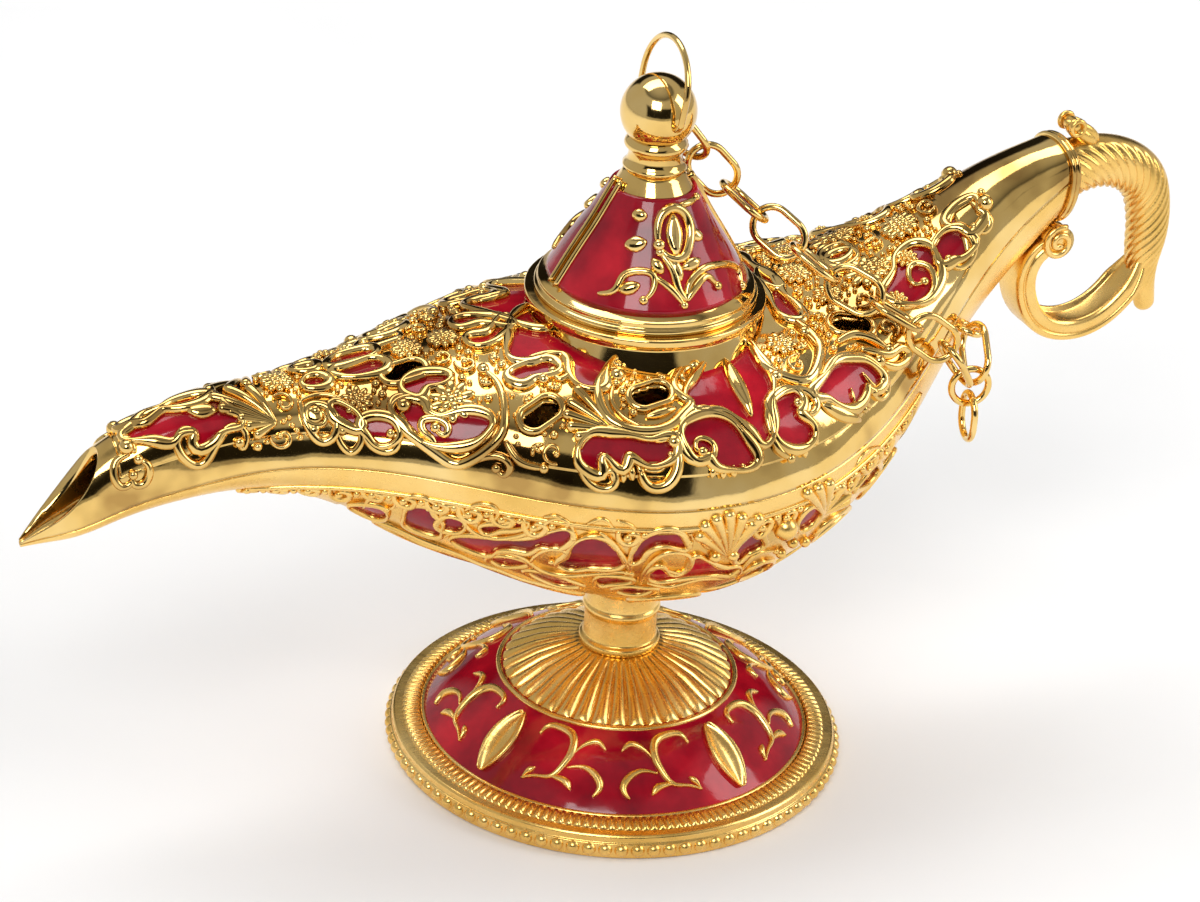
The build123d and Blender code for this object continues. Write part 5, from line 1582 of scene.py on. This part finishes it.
# Name, place and size in metres, power in watts
lamps = [
    ("key_box", (-1.25, -1.7, 1.9), (1.15, 1.15), 32.0),
    ("fill_box", (1.8, -0.9, 1.22), (0.9, 1.55), 16.5),
    ("top_box", (0.0, 0.8, 2.2), (2.0, 1.1), 24.5),
]


def camera_place():
    azimuth, elevation, roll = map(math.radians, (camera_azimuth, camera_elevation, camera_roll))
    back = Vector((math.sin(azimuth) * math.cos(elevation), -math.cos(azimuth) * math.cos(elevation),
                   math.sin(elevation)))
    right = Vector((math.cos(azimuth), math.sin(azimuth), 0))
    up = back.cross(right)
    right, up = right * math.cos(roll) + up * math.sin(roll), up * math.cos(roll) - right * math.sin(roll)
    data = bpy.data.cameras.new("photo_camera")
    data.sensor_width = sensor_width
    data.sensor_fit = "HORIZONTAL"
    data.lens = focal_pixels * sensor_width / photo_width
    data.clip_start, data.clip_end = 0.01, 50.0
    eye = new_object("photo_camera", data)
    place = Matrix((right, up, back)).transposed().to_4x4()
    place.translation = (Vector(camera_target) + back * camera_distance) * MM
    eye.matrix_world = place
    bpy.context.scene.camera = eye


def floor_piece():
    mesh = bpy.data.meshes.new("floor")
    corners = [(-1, -1), (1, -1), (1, 1), (-1, 1)]
    mesh.from_pydata([(a * floor_reach, b * floor_reach, 0) for a, b in corners], [], [(0, 1, 2, 3)])
    material, tree, main = shader("floor_paper")
    tone = ramp(tree, noise(tree, 25.0, 3.0, 0.5), [(0.3, (0.93, 0.93, 0.93)), (0.7, (0.95, 0.95, 0.95))])
    tree.links.new(tone, main.inputs["Base Color"])
    main.inputs["Roughness"].default_value = 0.9
    main.inputs["Specular IOR Level"].default_value = 0.1
    mesh.materials.append(material)
    floor = new_object("floor", mesh)
    floor.location = (0, 0, -floor_drop)


def lamp(name, place, size, power):
    data = bpy.data.lights.new(name, "AREA")
    data.shape = "RECTANGLE"
    data.size, data.size_y = size
    data.energy = power
    thing = new_object(name, data)
    thing.location = place
    thing.rotation_euler = (Vector(lamp_target) - Vector(place)).to_track_quat("-Z", "Y").to_euler()


def studio_world():
    """Room with a pale horizon, dim walls, a bright ring of ceiling and two bright panels at the sides."""
    world = bpy.data.worlds.new("studio")
    world.use_nodes = True
    tree = world.node_tree
    back = tree.nodes["Background"]
    coords = tree.nodes.new("ShaderNodeTexCoord")
    parts = tree.nodes.new("ShaderNodeSeparateXYZ")
    tree.links.new(coords.outputs["Generated"], parts.inputs["Vector"])
    pale, dim, white = (0.9, 0.9, 0.9), (0.03, 0.027, 0.022), (1.0, 1.0, 1.0)
    tone = ramp(tree, parts.outputs["Z"], [(0.0, pale), (0.06, pale), (0.09, dim), (0.5, dim), (0.58, white),
                                           (0.8, white), (0.86, (0.25, 0.25, 0.25)), (1.0, pale)])
    along = tree.nodes.new("ShaderNodeVectorMath")
    along.operation = "DOT_PRODUCT"
    along.inputs[1].default_value = side_panels
    tree.links.new(coords.outputs["Generated"], along.inputs[0])
    size = tree.nodes.new("ShaderNodeMath")
    size.operation = "ABSOLUTE"
    tree.links.new(along.outputs["Value"], size.inputs[0])
    panels = ramp(tree, size.outputs["Value"], [(0.0, (0, 0, 0)), (0.54, (0, 0, 0)), (0.62, white), (1.0, white)])
    both = tree.nodes.new("ShaderNodeMix")
    both.data_type = "RGBA"
    both.blend_type = "LIGHTEN"
    both.inputs[0].default_value = 1.0
    tree.links.new(tone, both.inputs[6])
    tree.links.new(panels, both.inputs[7])
    tree.links.new(both.outputs[2], back.inputs["Color"])
    back.inputs["Strength"].default_value = world_strength
    bpy.context.scene.world = world


camera_place()
floor_piece()
studio_world()
for name, place, size, power in lamps:
    lamp(name, place, size, power)
bpy.context.scene.view_settings.view_transform = "Standard"
